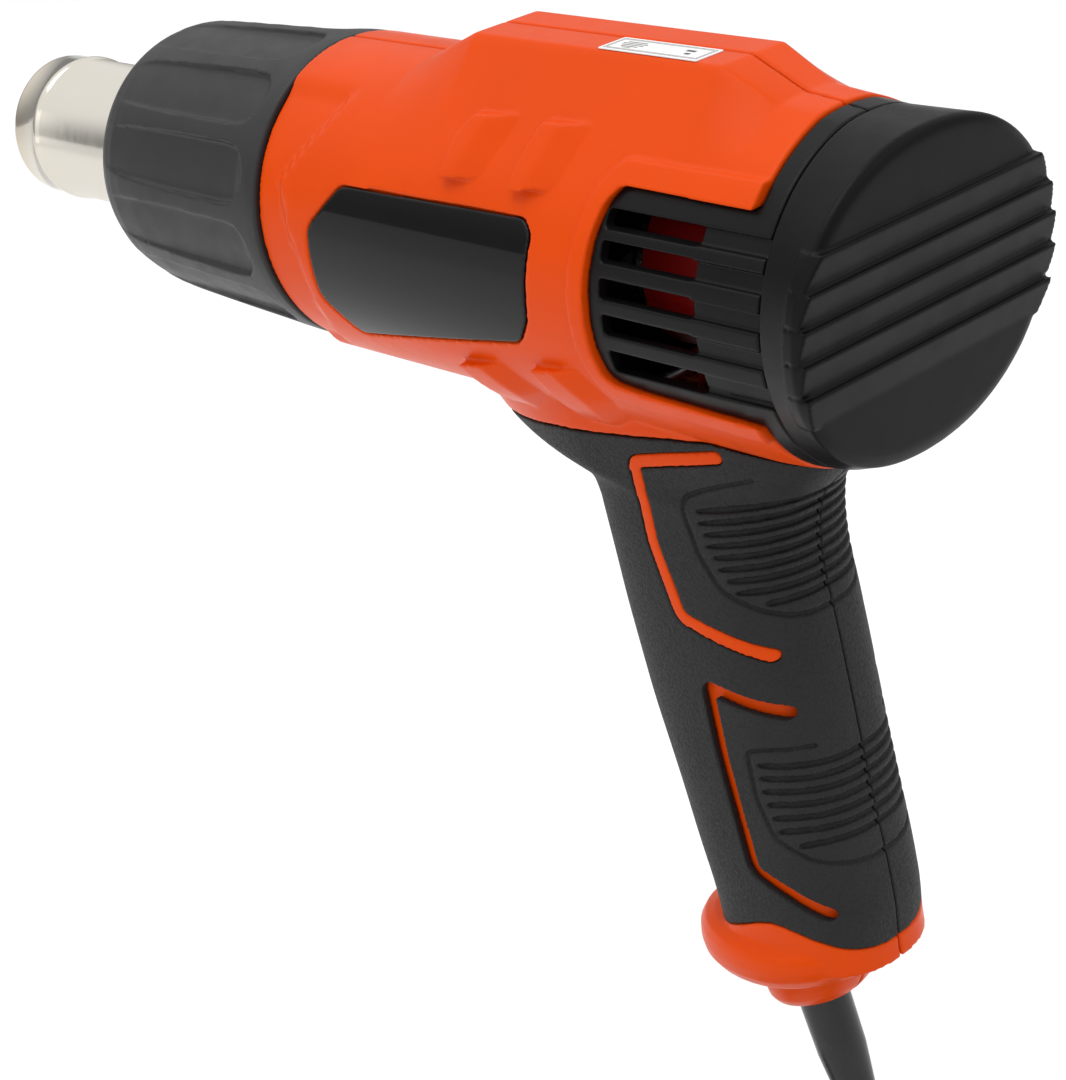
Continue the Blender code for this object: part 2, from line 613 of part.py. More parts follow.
# ---------------------------------------------------------------- heater
turned("mica_sleeve", [(16.4, 128.0), (16.4, 0.0), (15.9, 0.0), (15.9, 128.0)], (120.0, 0, 0), material=MICA, steps=32)
former = box("heater_former", (124, -13.2, -0.7), (240, 13.2, 0.7), MICA)
boole(former, box("former_b", (124.0, -0.7, -13.2), (240.0, 0.7, 13.2), cut=True), 'UNION')
turns, n_per = 7, 9
for nm, ph in (("heater_coil_a", 0.0), ("heater_coil_b", math.pi)):
    pts = []
    for i in range(turns * n_per + 1):
        a = ph + 2 * math.pi * i / n_per
        pts.append((128 + 108 * i / (turns * n_per), 15.0 * math.cos(a), 15.0 * math.sin(a)))
    wire(nm, pts, 0.45, NICKEL, res=1)
turned("heater_end_ring", [(15.8, 2.4), (15.8, 0.0), (11.5, 0.0), (11.5, 2.4)], (241.0, 0, 0), material=CERAMIC, steps=28)
box("thermal_cutout", (117.4, -4.5, -2.6), (123.4, 4.5, 2.6), CERAMIC, bevel=0.5)
turned("air_funnel", [(17.9, 24.2), (19.5, 24.2), (24.0, 17.0), (32.2, 6.0), (32.2, 0.0), (30.6, 0.0), (30.6, 5.2),
                      (22.4, 15.8), (17.9, 22.6)], (91.0, 0, 0), material=BLACK, steps=40)

# ---------------------------------------------------------------- motor and fan
turned("motor_can", [(16.0, 36.0), (16.0, 0.0), (14.8, 0.0), (14.8, 34.6), (4.4, 34.6), (4.4, 36.0)], (26.0, 0, 0),
       material=ZINC, steps=36)
turned("motor_sleeve", [(18.4, 30.0), (18.4, 0.0), (16.3, 0.0), (16.3, 30.0)], (28.0, 0, 0), material=RED, steps=36)
turned("motor_end_bell", [(16.0, 3.6), (16.0, 0.0), (3.2, 0.0), (3.2, 3.6)], (22.1, 0, 0), material=BLACK, steps=32)
turned("bearing_front", [(4.1, 3.2), (4.1, 0.0), (1.8, 0.0), (1.8, 3.2)], (59.2, 0, 0), material=COPPER, steps=20)
turned("bearing_rear", [(2.9, 3.2), (2.9, 0.0), (1.8, 0.0), (1.8, 3.2)], (22.3, 0, 0), material=COPPER, steps=20)
mm_ = turned("motor_mount", [(32.4, 3.0), (32.4, 0.0), (4.8, 0.0), (4.8, 3.0)], (62.6, 0, 0), material=BLACK, steps=40)
for k in range(6):
    a = 2 * math.pi * (k + 0.5) / 6
    boole(mm_, rod(f"mount_hole_{k}", (58, 22.5 * math.cos(a), 22.5 * math.sin(a)),
                   (70, 22.5 * math.cos(a), 22.5 * math.sin(a)), 7.2, cut=True, segs=12), 'DIFFERENCE')
boole(mm_, rod("mount_boss_clear", (60, 0.5, -26.5), (70, 0.5, -26.5), 4.6, cut=True, segs=14), 'DIFFERENCE')
boole(mm_, box("mount_clear_lo", (60, -30, -40), (70, 30, -21.8), cut=True), 'DIFFERENCE')
boole(mm_, box("mount_clear_hi", (60, -17, 26.9), (70, 17, 40), cut=True), 'DIFFERENCE')
for side in ("left", "right"):
    s = SIGN[side]
    mg = turned(f"magnet_{side}", [(14.5, 22.0), (14.5, 0.0), (12.6, 0.0), (12.6, 22.0)], (33.0, 0, 0),
                material=MAGNET, steps=36)
    boole(mg, box(f"magnet_keep_{side}", (20, *sorted((s * 5.5, s * 30))[:1], -30), (70, sorted((s * 5.5, s * 30))[1], 30),
                  cut=True), 'INTERSECT')
    box(f"brush_{side}", (27.4, *sorted((s * 5.9, s * 12.5))[:1], -1.8), (30.2, sorted((s * 5.9, s * 12.5))[1], 1.8), CARBON)

rod("rotor_shaft", (19.0, 0, 0), (88.5, 0, 0), 1.5, ZINC, segs=20)
turned("commutator", [(5.5, 4.4), (5.5, 0.0), (1.8, 0.0), (1.8, 4.4)], (26.7, 0, 0), material=COPPER, steps=24)
core_ = turned("rotor_core", [(12.1, 20.0), (12.1, 0.0), (1.8, 0.0), (1.8, 20.0)], (34.0, 0, 0), material=COPPER, steps=36)
for k in range(6):
    a = 2 * math.pi * k / 6
    boole(core_, box(f"core_slot_{k}", (30, 12 * math.cos(a) - 1.1, 12 * math.sin(a) - 1.1),
                     (60, 12 * math.cos(a) + 1.1, 12 * math.sin(a) + 1.1), cut=True), 'DIFFERENCE')
fan = turned("fan_impeller", [(5.0, 14.0), (5.0, 1.6), (28.5, 1.6), (28.5, 0.0), (1.8, 0.0), (1.8, 14.0)], (70.5, 0, 0),
             material=BLACK, steps=40)
for k in range(9):
    a = 2 * math.pi * k / 9
    bl = loft(f"fan_blade_{k}", [
        [(71.0 + dx, r * math.cos(a + w) - t * math.sin(a + w), r * math.sin(a + w) + t * math.cos(a + w))
         for dx, t in ((0, -0.6), (h, -0.6), (h, 0.6), (0, 0.6))]
        for r, w, h in ((4.2, 0.0, 12.5), (12.0, 0.16, 12.2), (20.0, 0.40, 11.2), (27.6, 0.70, 9.5))], cut=True)
    boole(fan, bl, 'UNION')

# ---------------------------------------------------------------- switch
swb = box("switch_body", (66.0, -7.0, -83.0), (77.0, 7.0, -56.0), BLACK, bevel=0.8, rot=(0, ang, 0))
knob_c = Vector(SW) - FRONT_DIR * (SWITCH_TRAVEL / 2)    # resting at the lower stop
fx = Vector((FRONT_DIR.z, 0, -FRONT_DIR.x))              # outward from the handle's front


def sw_box(name, u0, u1, y, w0, w1, **k):
    """A box in the switch's own directions: outward u, along the slot w."""
    c = knob_c + fx * ((u0 + u1) / 2) + FRONT_DIR * ((w0 + w1) / 2)
    return box(name, (c.x - (u1 - u0) / 2, -y, c.z - (w1 - w0) / 2), (c.x + (u1 - u0) / 2, y, c.z + (w1 - w0) / 2),
               rot=(0, ang, 0), **k)


knob = sw_box("switch_knob", 3.1, 6.2, 6.2, -8.5, 8.5, material=BLACK, bevel=1.2)
boole(knob, sw_box("knob_stem", -5.6, 4.5, 4.6, -7.5, 7.5, cut=True), 'UNION')
for k in range(4):
    boole(knob, sw_box(f"knob_groove_{k}", 5.5, 8.0, 9.0, -5.9 + 3.6 * k, -4.9 + 3.6 * k, cut=True), 'DIFFERENCE')

# ---------------------------------------------------------------- electrics in the handle
box("control_board", (44.0, -0.8, -124.0), (60.0, 0.8, -104.6), GREEN)
rod("capacitor", (50.0, 1.2, -114.0), (50.0, 8.5, -114.0), 4.0, RED, segs=20)
box("terminal_block", (38.0, -5.5, -138.0), (54.0, 5.5, -130.0), CERAMIC, bevel=0.6)
box("cord_clamp", (36.0, -8.5, -153.4), (52.0, 8.5, -150.0), BLACK, bevel=0.8)
for k, y in enumerate((-5.9, 5.9)):
    turned(f"clamp_screw_{k + 1}", [(0, 4.0), (2.2, 4.0), (2.2, 2.2), (1.2, 2.2), (1.2, 0.3), (0, 0)],
           (44.2, y, -149.7), axis=(0, 0, 1), material=ZINC, steps=12, closed=False)
A, _ = spline([(63.5, 3.2, -85.0), (65.0, 3.4, -92.0), (65.6, 3.6, -100.5), (64.8, 3.4, -108.0), (61.8, 3.2, -113.5)], 3.0)
wire("lead_board", A, 1.0, BLUE)
A, _ = spline([(66.0, 4.0, -55.4), (64.0, 6.0, -46.0), (58.0, 9.0, -34.0), (52.0, 11.5, -24.5), (46.0, 12.6, -17.6)], 3.0)
wire("lead_motor", A, 1.0, RED)
A, _ = spline([(76.5, -4.0, -54.8), (77.5, -5.0, -46.0), (84.0, -6.0, -39.0), (98.0, -6.5, -36.0), (109.5, -6.0, -33.0),
               (114.0, -4.0, -25.4)], 4.0)
wire("lead_heater", A, 1.1, BLUE)
A, _ = spline([(46.4, 0, -138.6), (46.2, 0, -144.0), (46.0, 0, -149.6)], 3.0)
wire("cord_inner", A, CORD_R - 0.5, PVC)

# ---------------------------------------------------------------- strain relief and cord
BOOT_DIR = Vector((-0.30, 0.0, -0.954)).normalized()
BOOT_TOP = Vector((44.2, 0.0, -176.0)) - BOOT_DIR * 20.5
BOOT_LEN = 65.5
turned("strain_relief", [(0, BOOT_LEN), (4.7, BOOT_LEN), (4.9, BOOT_LEN - 4), (5.8, 30.0), (5.95, 20.0), (5.95, 3.4),
                         (8.2, 3.0), (8.2, 0.0), (0, 0)],
       tuple(BOOT_TOP), axis=tuple(BOOT_DIR), material=PVC, steps=24, closed=False)
boot_end = BOOT_TOP + BOOT_DIR * BOOT_LEN
CORD_START = boot_end + BOOT_DIR * GAP

R_OUT, R_IN, COIL_H = 56.6, 33.4, 15.6
COIL_B = FLOOR_Z + 1.2
R_T = R_OUT + CORD_R + 0.6
run = [tuple(CORD_START), tuple(CORD_START + BOOT_DIR * 9), (CORD_START.x - 6.5, -1.6, CORD_START.z - 18.5),
       (15.0, -9.5, -257.0), (-1.0, -18.0, -267.4), (COIL_X, COIL_Y - R_T - 0.4, COIL_B + CORD_R + 0.1)]
A, _ = spline(run, 6.0)
wire("cord_run", A, CORD_R, PVC, res=3)
turned("cord_coil", [(R_OUT - 2.5, COIL_H), (R_OUT, COIL_H - 2.5), (R_OUT, 2.5), (R_OUT - 2.5, 0), (R_IN + 2.5, 0),
                     (R_IN, 2.5), (R_IN, COIL_H - 2.5), (R_IN + 2.5, COIL_H)], (COIL_X, COIL_Y, COIL_B), axis=(0, 0, 1),
       material=PVC, steps=40)
tx = COIL_X + (R_OUT + R_IN) / 2
tie = box("cord_tie", (tx - 12.8, COIL_Y - 3, FLOOR_Z), (tx + 12.8, COIL_Y + 3, COIL_B + COIL_H + 1.2), BLACK)
boole(tie, box("tie_hole", (tx - 11.9, COIL_Y - 10, FLOOR_Z + 0.8), (tx + 11.9, COIL_Y + 10, COIL_B + COIL_H + 0.4), cut=True),
      'DIFFERENCE')
pa = math.radians(60)
PLUG_DIR = Vector((0.90, -0.436, 0.0)).normalized()
PLUG_AT = Vector((56.0, 65.0, FLOOR_Z + 10.4))
tail = [(COIL_X + R_T * math.cos(pa), COIL_Y + R_T * math.sin(pa), COIL_B + COIL_H - CORD_R - 0.2),
        (COIL_X + R_T * math.cos(pa) + 13, COIL_Y + R_T * math.sin(pa) - 7.5, COIL_B + 8.6),
        tuple(PLUG_AT - PLUG_DIR * 24 + Vector((0, 1.0, -5.2))), tuple(PLUG_AT - PLUG_DIR * 8 + Vector((0, 0, -0.15))),
        tuple(PLUG_AT - PLUG_DIR * GAP)]
A, _ = spline(tail, 6.0)
wire("cord_tail", A, CORD_R, PVC, res=3)
side_dir = Vector((-PLUG_DIR.y, PLUG_DIR.x, 0))
rings = []
for sdist, hw, hh in ((0, 4.8, 4.8), (13, 5.8, 5.6), (18, 7.5, 6.6), (27, 15.0, 8.6), (38, 18.0, 10.0), (56, 18.4, 10.2),
                      (58, 17.6, 9.4)):
    r = []
    for i in range(24):
        p = 2 * math.pi * (i + 0.5) / 24
        c, sn = math.cos(p), math.sin(p)
        e = 2 / 2.6
        q = PLUG_AT + PLUG_DIR * sdist + side_dir * (hw * math.copysign(abs(c) ** e, c))
        r.append((q.x, q.y, q.z + hh * math.copysign(abs(sn) ** e, sn)))
    rings.append(r)
loft("plug_body", rings, PVC)
for k, o in enumerate((-9.5, 9.5)):
    base = PLUG_AT + PLUG_DIR * (58 + GAP) + side_dir * o
    turned(f"plug_pin_{k + 1}", [(0, 19.0), (1.4, 19.0), (2.4, 17.6), (2.4, 0.0), (0, 0)], tuple(base),
           axis=tuple(PLUG_DIR), material=ZINC, steps=16, closed=False)
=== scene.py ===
"""Looks of the hot-air gun: camera, cord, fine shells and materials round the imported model."""
import bpy
import bmesh
import json
import math
import numpy as np
from mathutils import Vector, Matrix

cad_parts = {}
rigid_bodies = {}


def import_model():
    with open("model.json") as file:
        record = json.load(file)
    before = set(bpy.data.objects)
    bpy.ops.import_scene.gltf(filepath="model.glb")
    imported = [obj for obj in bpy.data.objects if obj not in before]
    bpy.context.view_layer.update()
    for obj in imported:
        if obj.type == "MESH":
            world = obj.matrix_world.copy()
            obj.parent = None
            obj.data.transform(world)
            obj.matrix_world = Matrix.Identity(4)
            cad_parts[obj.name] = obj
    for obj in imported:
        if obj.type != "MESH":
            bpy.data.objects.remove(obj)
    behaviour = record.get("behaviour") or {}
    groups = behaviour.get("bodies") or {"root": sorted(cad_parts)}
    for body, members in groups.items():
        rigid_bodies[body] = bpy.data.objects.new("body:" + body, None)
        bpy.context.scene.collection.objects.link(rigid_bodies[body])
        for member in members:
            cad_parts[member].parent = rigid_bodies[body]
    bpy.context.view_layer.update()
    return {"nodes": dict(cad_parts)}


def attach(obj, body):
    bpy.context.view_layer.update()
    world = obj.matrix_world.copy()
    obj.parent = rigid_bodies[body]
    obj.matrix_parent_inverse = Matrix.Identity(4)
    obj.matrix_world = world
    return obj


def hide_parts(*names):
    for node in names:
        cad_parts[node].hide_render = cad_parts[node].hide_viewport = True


for o in list(bpy.data.objects):
    bpy.data.objects.remove(o, do_unlink=True)
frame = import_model()
NODE = frame["nodes"]

GRIP = (53.0, 0.0, -98.0)


def m(p):
    return Vector(((p[0] - GRIP[0]) * 0.001, (p[1] - GRIP[1]) * 0.001, (p[2] - GRIP[2]) * 0.001))


def lerp(x, xs, ys):
    return float(np.interp(x, xs, ys))


def smooth(t):
    t = min(1.0, max(0.0, t))
    return t * t * (3 - 2 * t)


# ---------------------------------------------------------------- camera
cam = bpy.data.cameras.new("camera")
cam.sensor_width = 36.0
cam.sensor_fit = 'AUTO'
cam.lens = 2600.0 / 1080.0 * 36.0
cam.clip_start, cam.clip_end = 0.01, 50.0
cam_o = bpy.data.objects.new("camera", cam)
bpy.context.scene.collection.objects.link(cam_o)
cam_o.matrix_world = Matrix(((-0.68591, 0.22619, -0.69164, -0.34831),
                             (-0.71704, -0.37211, 0.58940, 0.35696),
                             (-0.12405, 0.90020, 0.41742, 0.26979),
                             (0, 0, 0, 1)))
bpy.context.scene.camera = cam_o


# ---------------------------------------------------------------- materials
def noise(nt, scale, detail=4.0, rough=0.5, vec=None, dist=0.0):
    n = nt.nodes.new("ShaderNodeTexNoise")
    n.inputs["Scale"].default_value = scale
    n.inputs["Detail"].default_value = detail
    n.inputs["Roughness"].default_value = rough
    n.inputs["Distortion"].default_value = dist
    if vec is not None:
        nt.links.new(vec, n.inputs["Vector"])
    return n


def ramp(nt, src, stops):
    r = nt.nodes.new("ShaderNodeValToRGB")
    r.color_ramp.elements[0].position, r.color_ramp.elements[0].color = stops[0][0], (*stops[0][1], 1)
    r.color_ramp.elements[1].position, r.color_ramp.elements[1].color = stops[-1][0], (*stops[-1][1], 1)
    for p, c in stops[1:-1]:
        e = r.color_ramp.elements.new(p)
        e.color = (*c, 1)
    nt.links.new(src, r.inputs["Fac"])
    return r


def maprange(nt, src, a, b, c, d):
    n = nt.nodes.new("ShaderNodeMapRange")
    for k, v in zip(("From Min", "From Max", "To Min", "To Max"), (a, b, c, d)):
        n.inputs[k].default_value = v
    nt.links.new(src, n.inputs["Value"])
    return n.outputs["Result"]


def coords(nt, scale=(1, 1, 1)):
    tc = nt.nodes.new("ShaderNodeTexCoord")
    mp = nt.nodes.new("ShaderNodeMapping")
    mp.inputs["Scale"].default_value = scale
    nt.links.new(tc.outputs["Object"], mp.inputs["Vector"])
    return mp.outputs["Vector"]


def bump(nt, b, src, strength, distance, prev=None):
    n = nt.nodes.new("ShaderNodeBump")
    n.inputs["Strength"].default_value = strength
    n.inputs["Distance"].default_value = distance
    nt.links.new(src, n.inputs["Height"])
    if prev is not None:
        nt.links.new(prev, n.inputs["Normal"])
    nt.links.new(n.outputs["Normal"], b.inputs["Normal"])
    return n.outputs["Normal"]


def plastic(name, rgb, rough, tex=0.0, tex_scale=2500, var=0.04, rvar=0.05, metal=0.0, coat=0.0, spec=0.5,
            coat_rough=0.1, grain=(1, 1, 1), wave=0.0):
    """Moulded plastic, metal or ceramic: slight colour and gloss variation with a fine surface texture."""
    mt = bpy.data.materials.new(name)
    mt.use_nodes = True
    nt = mt.node_tree
    b = nt.nodes["Principled BSDF"]
    b.inputs["Metallic"].default_value = metal
    b.inputs["Specular IOR Level"].default_value = spec
    b.inputs["Coat Weight"].default_value = coat
    b.inputs["Coat Roughness"].default_value = coat_rough
    v = coords(nt, grain)
    n1 = noise(nt, 45.0, 3.0, 0.5, v)
    lo = tuple(max(0.0, c * (1 - var)) for c in rgb)
    hi = tuple(min(1.0, c * (1 + var)) for c in rgb)
    nt.links.new(ramp(nt, n1.outputs["Fac"], [(0.3, lo), (0.7, hi)]).outputs["Color"], b.inputs["Base Color"])
    n2 = noise(nt, 160.0, 4.0, 0.6, v)
    nt.links.new(maprange(nt, n2.outputs["Fac"], 0.3, 0.7, max(0.02, rough - rvar), rough + rvar), b.inputs["Roughness"])
    prev = None
    if wave:
        n4 = noise(nt, 30.0, 1.0, 0.4, v)
        prev = bump(nt, b, n4.outputs["Fac"], 0.2, wave)
    if tex:
        n3 = noise(nt, tex_scale, 2.0, 0.5, v)
        bump(nt, b, n3.outputs["Fac"], tex, 0.0002, prev)
    return mt


def rubber(name, rgb, rough=0.62):
    """Soft-touch rubber with a fine leather-like grain."""
    mt = bpy.data.materials.new(name)
    mt.use_nodes = True
    nt = mt.node_tree
    b = nt.nodes["Principled BSDF"]
    b.inputs["Specular IOR Level"].default_value = 0.26
    v = coords(nt)
    n1 = noise(nt, 60.0, 4.0, 0.6, v)
    nt.links.new(ramp(nt, n1.outputs["Fac"], [(0.3, tuple(c * 0.86 for c in rgb)), (0.7, tuple(c * 1.14 for c in rgb))])
                 .outputs["Color"], b.inputs["Base Color"])
    vo = nt.nodes.new("ShaderNodeTexVoronoi")
    vo.inputs["Scale"].default_value = 1500.0
    vo.feature = 'F1'
    wob = noise(nt, 900.0, 2.0, 0.5, v)
    mx = nt.nodes.new("ShaderNodeMix")
    mx.data_type = 'VECTOR'
    mx.inputs[0].default_value = 0.0008
    nt.links.new(v, mx.inputs[4])
    nt.links.new(wob.outputs["Color"], mx.inputs[5])
    nt.links.new(mx.outputs[1], vo.inputs["Vector"])
    nt.links.new(maprange(nt, vo.outputs["Distance"], 0.0, 0.9, rough - 0.12, rough + 0.10), b.inputs["Roughness"])
    p = bump(nt, b, vo.outputs["Distance"], 0.45, 0.00022)
    n3 = noise(nt, 420.0, 3.0, 0.6, v)
    bump(nt, b, n3.outputs["Fac"], 0.22, 0.0003, p)
    return mt


def steel(name, rgb, rough, brushed=(1, 1, 1), tint=None):
    """Polished tube steel with a faint turned grain and a heat-tinted mouth."""
    mt = bpy.data.materials.new(name)
    mt.use_nodes = True
    nt = mt.node_tree
    b = nt.nodes["Principled BSDF"]
    b.inputs["Metallic"].default_value = 1.0
    v = coords(nt, brushed)
    n1 = noise(nt, 220.0, 5.0, 0.65, v)
    nt.links.new(maprange(nt, n1.outputs["Fac"], 0.3, 0.7, rough * 0.75, rough * 1.35), b.inputs["Roughness"])
    bump(nt, b, n1.outputs["Fac"], 0.05, 0.0001)
    if tint:
        tc = nt.nodes.new("ShaderNodeTexCoord")
        sx = nt.nodes.new("ShaderNodeSeparateXYZ")
        nt.links.new(tc.outputs["Object"], sx.inputs["Vector"])
        t = maprange(nt, sx.outputs["X"], tint[0], tint[1], 0.0, 1.0)
        nt.links.new(ramp(nt, t, [(0.0, rgb), (0.75, rgb), (0.92, tint[2]), (1.0, tint[3])]).outputs["Color"],
                     b.inputs["Base Color"])
    else:
        n2 = noise(nt, 40.0, 3.0, 0.5, v)
        nt.links.new(ramp(nt, n2.outputs["Fac"], [(0.3, tuple(c * 0.94 for c in rgb)), (0.7, rgb)]).outputs["Color"],
                     b.inputs["Base Color"])
    return mt


M = {
    "orange": plastic("orange_shell", (0.64, 0.056, 0.0002), 0.34, tex=0.08, tex_scale=3000, var=0.03, rvar=0.04, spec=0.10),
    "accent": plastic("orange_accent", (0.66, 0.056, 0.0002), 0.40, tex=0.08, tex_scale=2600, var=0.04, spec=0.10),
    "black": plastic("black_shell", (0.0040, 0.0040, 0.0044), 0.34, tex=0.10, tex_scale=2600, var=0.08, spec=0.13),
    "cap": plastic("cap_black", (0.0030, 0.0031, 0.0036), 0.36, tex=0.08, tex_scale=2600, var=0.08, spec=0.10),
    "guard": plastic("guard_grey", (0.017, 0.017, 0.0185), 0.46, tex=0.20, tex_scale=1900, var=0.06, spec=0.32),
    "rubber": rubber("grip_rubber", (0.0120, 0.0120, 0.0126)),
    "gloss": plastic("badge_gloss", (0.003, 0.003, 0.0034), 0.07, tex=0.0, var=0.1, rvar=0.015, coat=0.0, spec=0.20, coat_rough=0.02,
                     wave=0.0003),
    "steel": steel("nozzle_steel", (0.64, 0.61, 0.55), 0.14, (3.0, 0.6, 0.6),
                   (0.150, 0.2326, (0.64, 0.60, 0.52), (0.60, 0.53, 0.43))),
    "zinc": steel("zinc_plate", (0.62, 0.62, 0.63), 0.30, (1, 1, 1)),
    "copper": steel("copper_wire", (0.80, 0.36, 0.17), 0.34, (4, 1, 1)),
    "mica": plastic("mica_sheet", (0.58, 0.50, 0.37), 0.45, tex=0.3, tex_scale=500, var=0.18),
    "ceramic": plastic("steatite", (0.82, 0.80, 0.74), 0.55, tex=0.2, tex_scale=1200, var=0.05),
    "red": plastic("red_sleeve", (0.20, 0.0025, 0.0025), 0.34, tex=0.05, var=0.06, spec=0.3),
    "board": plastic("board_green", (0.02, 0.14, 0.045), 0.40, tex=0.1, var=0.15),
    "label": plastic("label_vinyl", (0.80, 0.80, 0.79), 0.32, tex=0.05, var=0.02),
    "ink": plastic("label_ink", (0.05, 0.05, 0.052), 0.40, tex=0.05, var=0.05),
    "pvc": plastic("cord_pvc", (0.0070, 0.0070, 0.0080), 0.28, tex=0.10, tex_scale=900, var=0.1, rvar=0.06, spec=0.4),
    "carbon": plastic("brush_carbon", (0.02, 0.02, 0.02), 0.55, tex=0.3, var=0.15),
    "wire": steel("heater_wire", (0.42, 0.36, 0.31), 0.42, (1, 1, 1)),
    "ferrite": plastic("ferrite", (0.05, 0.05, 0.055), 0.65, tex=0.4, var=0.12),
    "blue": plastic("wire_blue", (0.012, 0.06, 0.42), 0.36, tex=0.05, var=0.05),
    "tie": plastic("tie_black", (0.012, 0.012, 0.012), 0.40, tex=0.15, var=0.1),
}
CAD_LOOK = {
    "zinc": ["guard_bracket", "motor_can", "rotor_shaft", "clamp_screw_1", "clamp_screw_2"],
    "black": ["air_funnel", "motor_end_bell", "motor_mount", "fan_impeller", "switch_body", "cord_clamp"],
    "mica": ["mica_sleeve", "heater_former"],
    "wire": ["heater_coil_a", "heater_coil_b"],
    "ceramic": ["heater_end_ring", "thermal_cutout", "terminal_block"],
    "red": ["motor_sleeve", "capacitor", "lead_motor"],
    "copper": ["bearing_front", "bearing_rear", "commutator", "rotor_core"],
    "ferrite": ["magnet_left", "magnet_right"],
    "carbon": ["brush_left", "brush_right"],
    "board": ["control_board"],
    "blue": ["lead_board", "lead_heater"],
    "pvc": ["cord_inner"],
}
for key, names in CAD_LOOK.items():
    for n in names:
        o = NODE[n]
        o.data.materials.clear()
        o.data.materials.append(M[key])


# ---------------------------------------------------------------- modelling helpers (design millimetres)
def new_ob(name, me):
    ob = bpy.data.objects.new(name, me)
    bpy.context.scene.collection.objects.link(ob)
    return ob


def drop(ob):
    me = ob.data
    bpy.data.objects.remove(ob, do_unlink=True)
    if me.users == 0:
        bpy.data.meshes.remove(me)


def loft(name, rings, cap=True, closed_u=False):
    bm = bmesh.new()
    rows = [[bm.verts.new(p) for p in r] for r in rings]
    n = len(rows[0])
    pairs = list(zip(rows, rows[1:])) + ([(rows[-1], rows[0])] if closed_u else [])
    for a, b in pairs:
        for i in range(n):
            bm.faces.new((a[i], a[(i + 1) % n], b[(i + 1) % n], b[i]))
    if cap and not closed_u:
        bm.faces.new(rows[0])
        bm.faces.new(list(reversed(rows[-1])))
    bmesh.ops.recalc_face_normals(bm, faces=bm.faces)
    me = bpy.data.meshes.new(name)
    bm.to_mesh(me)
    bm.free()
    return new_ob(name, me)


def prism(name, outline, y0, y1):
    y0, y1 = min(y0, y1), max(y0, y1)
    bm = bmesh.new()
    a = [bm.verts.new((x, y0, z)) for x, z in outline]
    b = [bm.verts.new((x, y1, z)) for x, z in outline]
    n = len(outline)
    bm.faces.new(a)
    bm.faces.new(b[::-1])
    for i in range(n):
        bm.faces.new((a[i], a[(i + 1) % n], b[(i + 1) % n], b[i]))
    bmesh.ops.recalc_face_normals(bm, faces=bm.faces)
    bmesh.ops.triangulate(bm, faces=[f for f in bm.faces if len(f.verts) > 4])
    me = bpy.data.meshes.new(name)
    bm.to_mesh(me)
    bm.free()
    return new_ob(name, me)


def block(name, lo, hi, rot=None, pivot=None):
    bm = bmesh.new()
    bmesh.ops.create_cube(bm, size=1.0)
    for v in bm.verts:
        v.co = Vector([(l + h) / 2 + c * (h - l) for l, h, c in zip(lo, hi, v.co)])
    if rot is not None:
        c = Vector(pivot) if pivot else Vector([(l + h) / 2 for l, h in zip(lo, hi)])
        bmesh.ops.rotate(bm, verts=bm.verts, cent=c, matrix=rot)
    me = bpy.data.meshes.new(name)
    bm.to_mesh(me)
    bm.free()
    return new_ob(name, me)


def turned(name, prof, at, axis=(1, 0, 0), steps=128, closed=True):
    """Profile of (radius, height) turned about an axis. closed=False: the ends lie on the axis."""
    q = Vector((0, 0, 1)).rotation_difference(Vector(axis).normalized())
    bm = bmesh.new()
    rows = []
    for r, h in prof:
        if r < 1e-6:
            v = bm.verts.new(q @ Vector((0, 0, h)) + Vector(at))
            rows.append([v])
        else:
            rows.append([bm.verts.new(q @ Vector((r * math.cos(2 * math.pi * i / steps), r * math.sin(2 * math.pi * i / steps), h))
                                      + Vector(at)) for i in range(steps)])
    pairs = list(zip(rows, rows[1:])) + ([(rows[-1], rows[0])] if closed else [])
    for a, b in pairs:
        for i in range(steps):
            j = (i + 1) % steps
            if len(a) == 1 and len(b) == 1:
                continue
            if len(a) == 1:
                bm.faces.new((a[0], b[j], b[i]))
            elif len(b) == 1:
                bm.faces.new((a[i], a[j], b[0]))
            else:
                bm.faces.new((a[i], a[j], b[j], b[i]))
    bmesh.ops.recalc_face_normals(bm, faces=bm.faces)
    me = bpy.data.meshes.new(name)
    bm.to_mesh(me)
    bm.free()
    return new_ob(name, me)


def rod(name, p0, p1, r, steps=40, r2=None):
    d = (Vector(p1) - Vector(p0))
    return turned(name, [(0, 0), (r, 0), (r if r2 is None else r2, d.length), (0, d.length)], p0, tuple(d), steps, False)


def apply_mods(ob):
    dg = bpy.context.evaluated_depsgraph_get()
    me = bpy.data.meshes.new_from_object(ob.evaluated_get(dg))
    old = ob.data
    ob.modifiers.clear()
    ob.data = me
    if old.users == 0:
        bpy.data.meshes.remove(old)
    return ob


def boole(ob, other, op, keep=False):
    """Boolean, applied at once. A result that has lost most of the piece is undone and tried again another way."""
    before = ob.data.copy()
    for use_self in (False, True):
        b = ob.modifiers.new("b", 'BOOLEAN')
        b.operation = op
        b.solver = 'EXACT'
        b.use_self = use_self
        b.object = other
        bpy.context.view_layer.update()
        apply_mods(ob)
        if op == 'INTERSECT' or len(ob.data.vertices) > 0.6 * len(before.vertices):
            break
        print("boolean repeated on", ob.name, "with", other.name)
        ob.data = before.copy()
    if not keep:
        drop(other)
    return ob


def copy(ob, name):
    return new_ob(name, ob.data.copy())


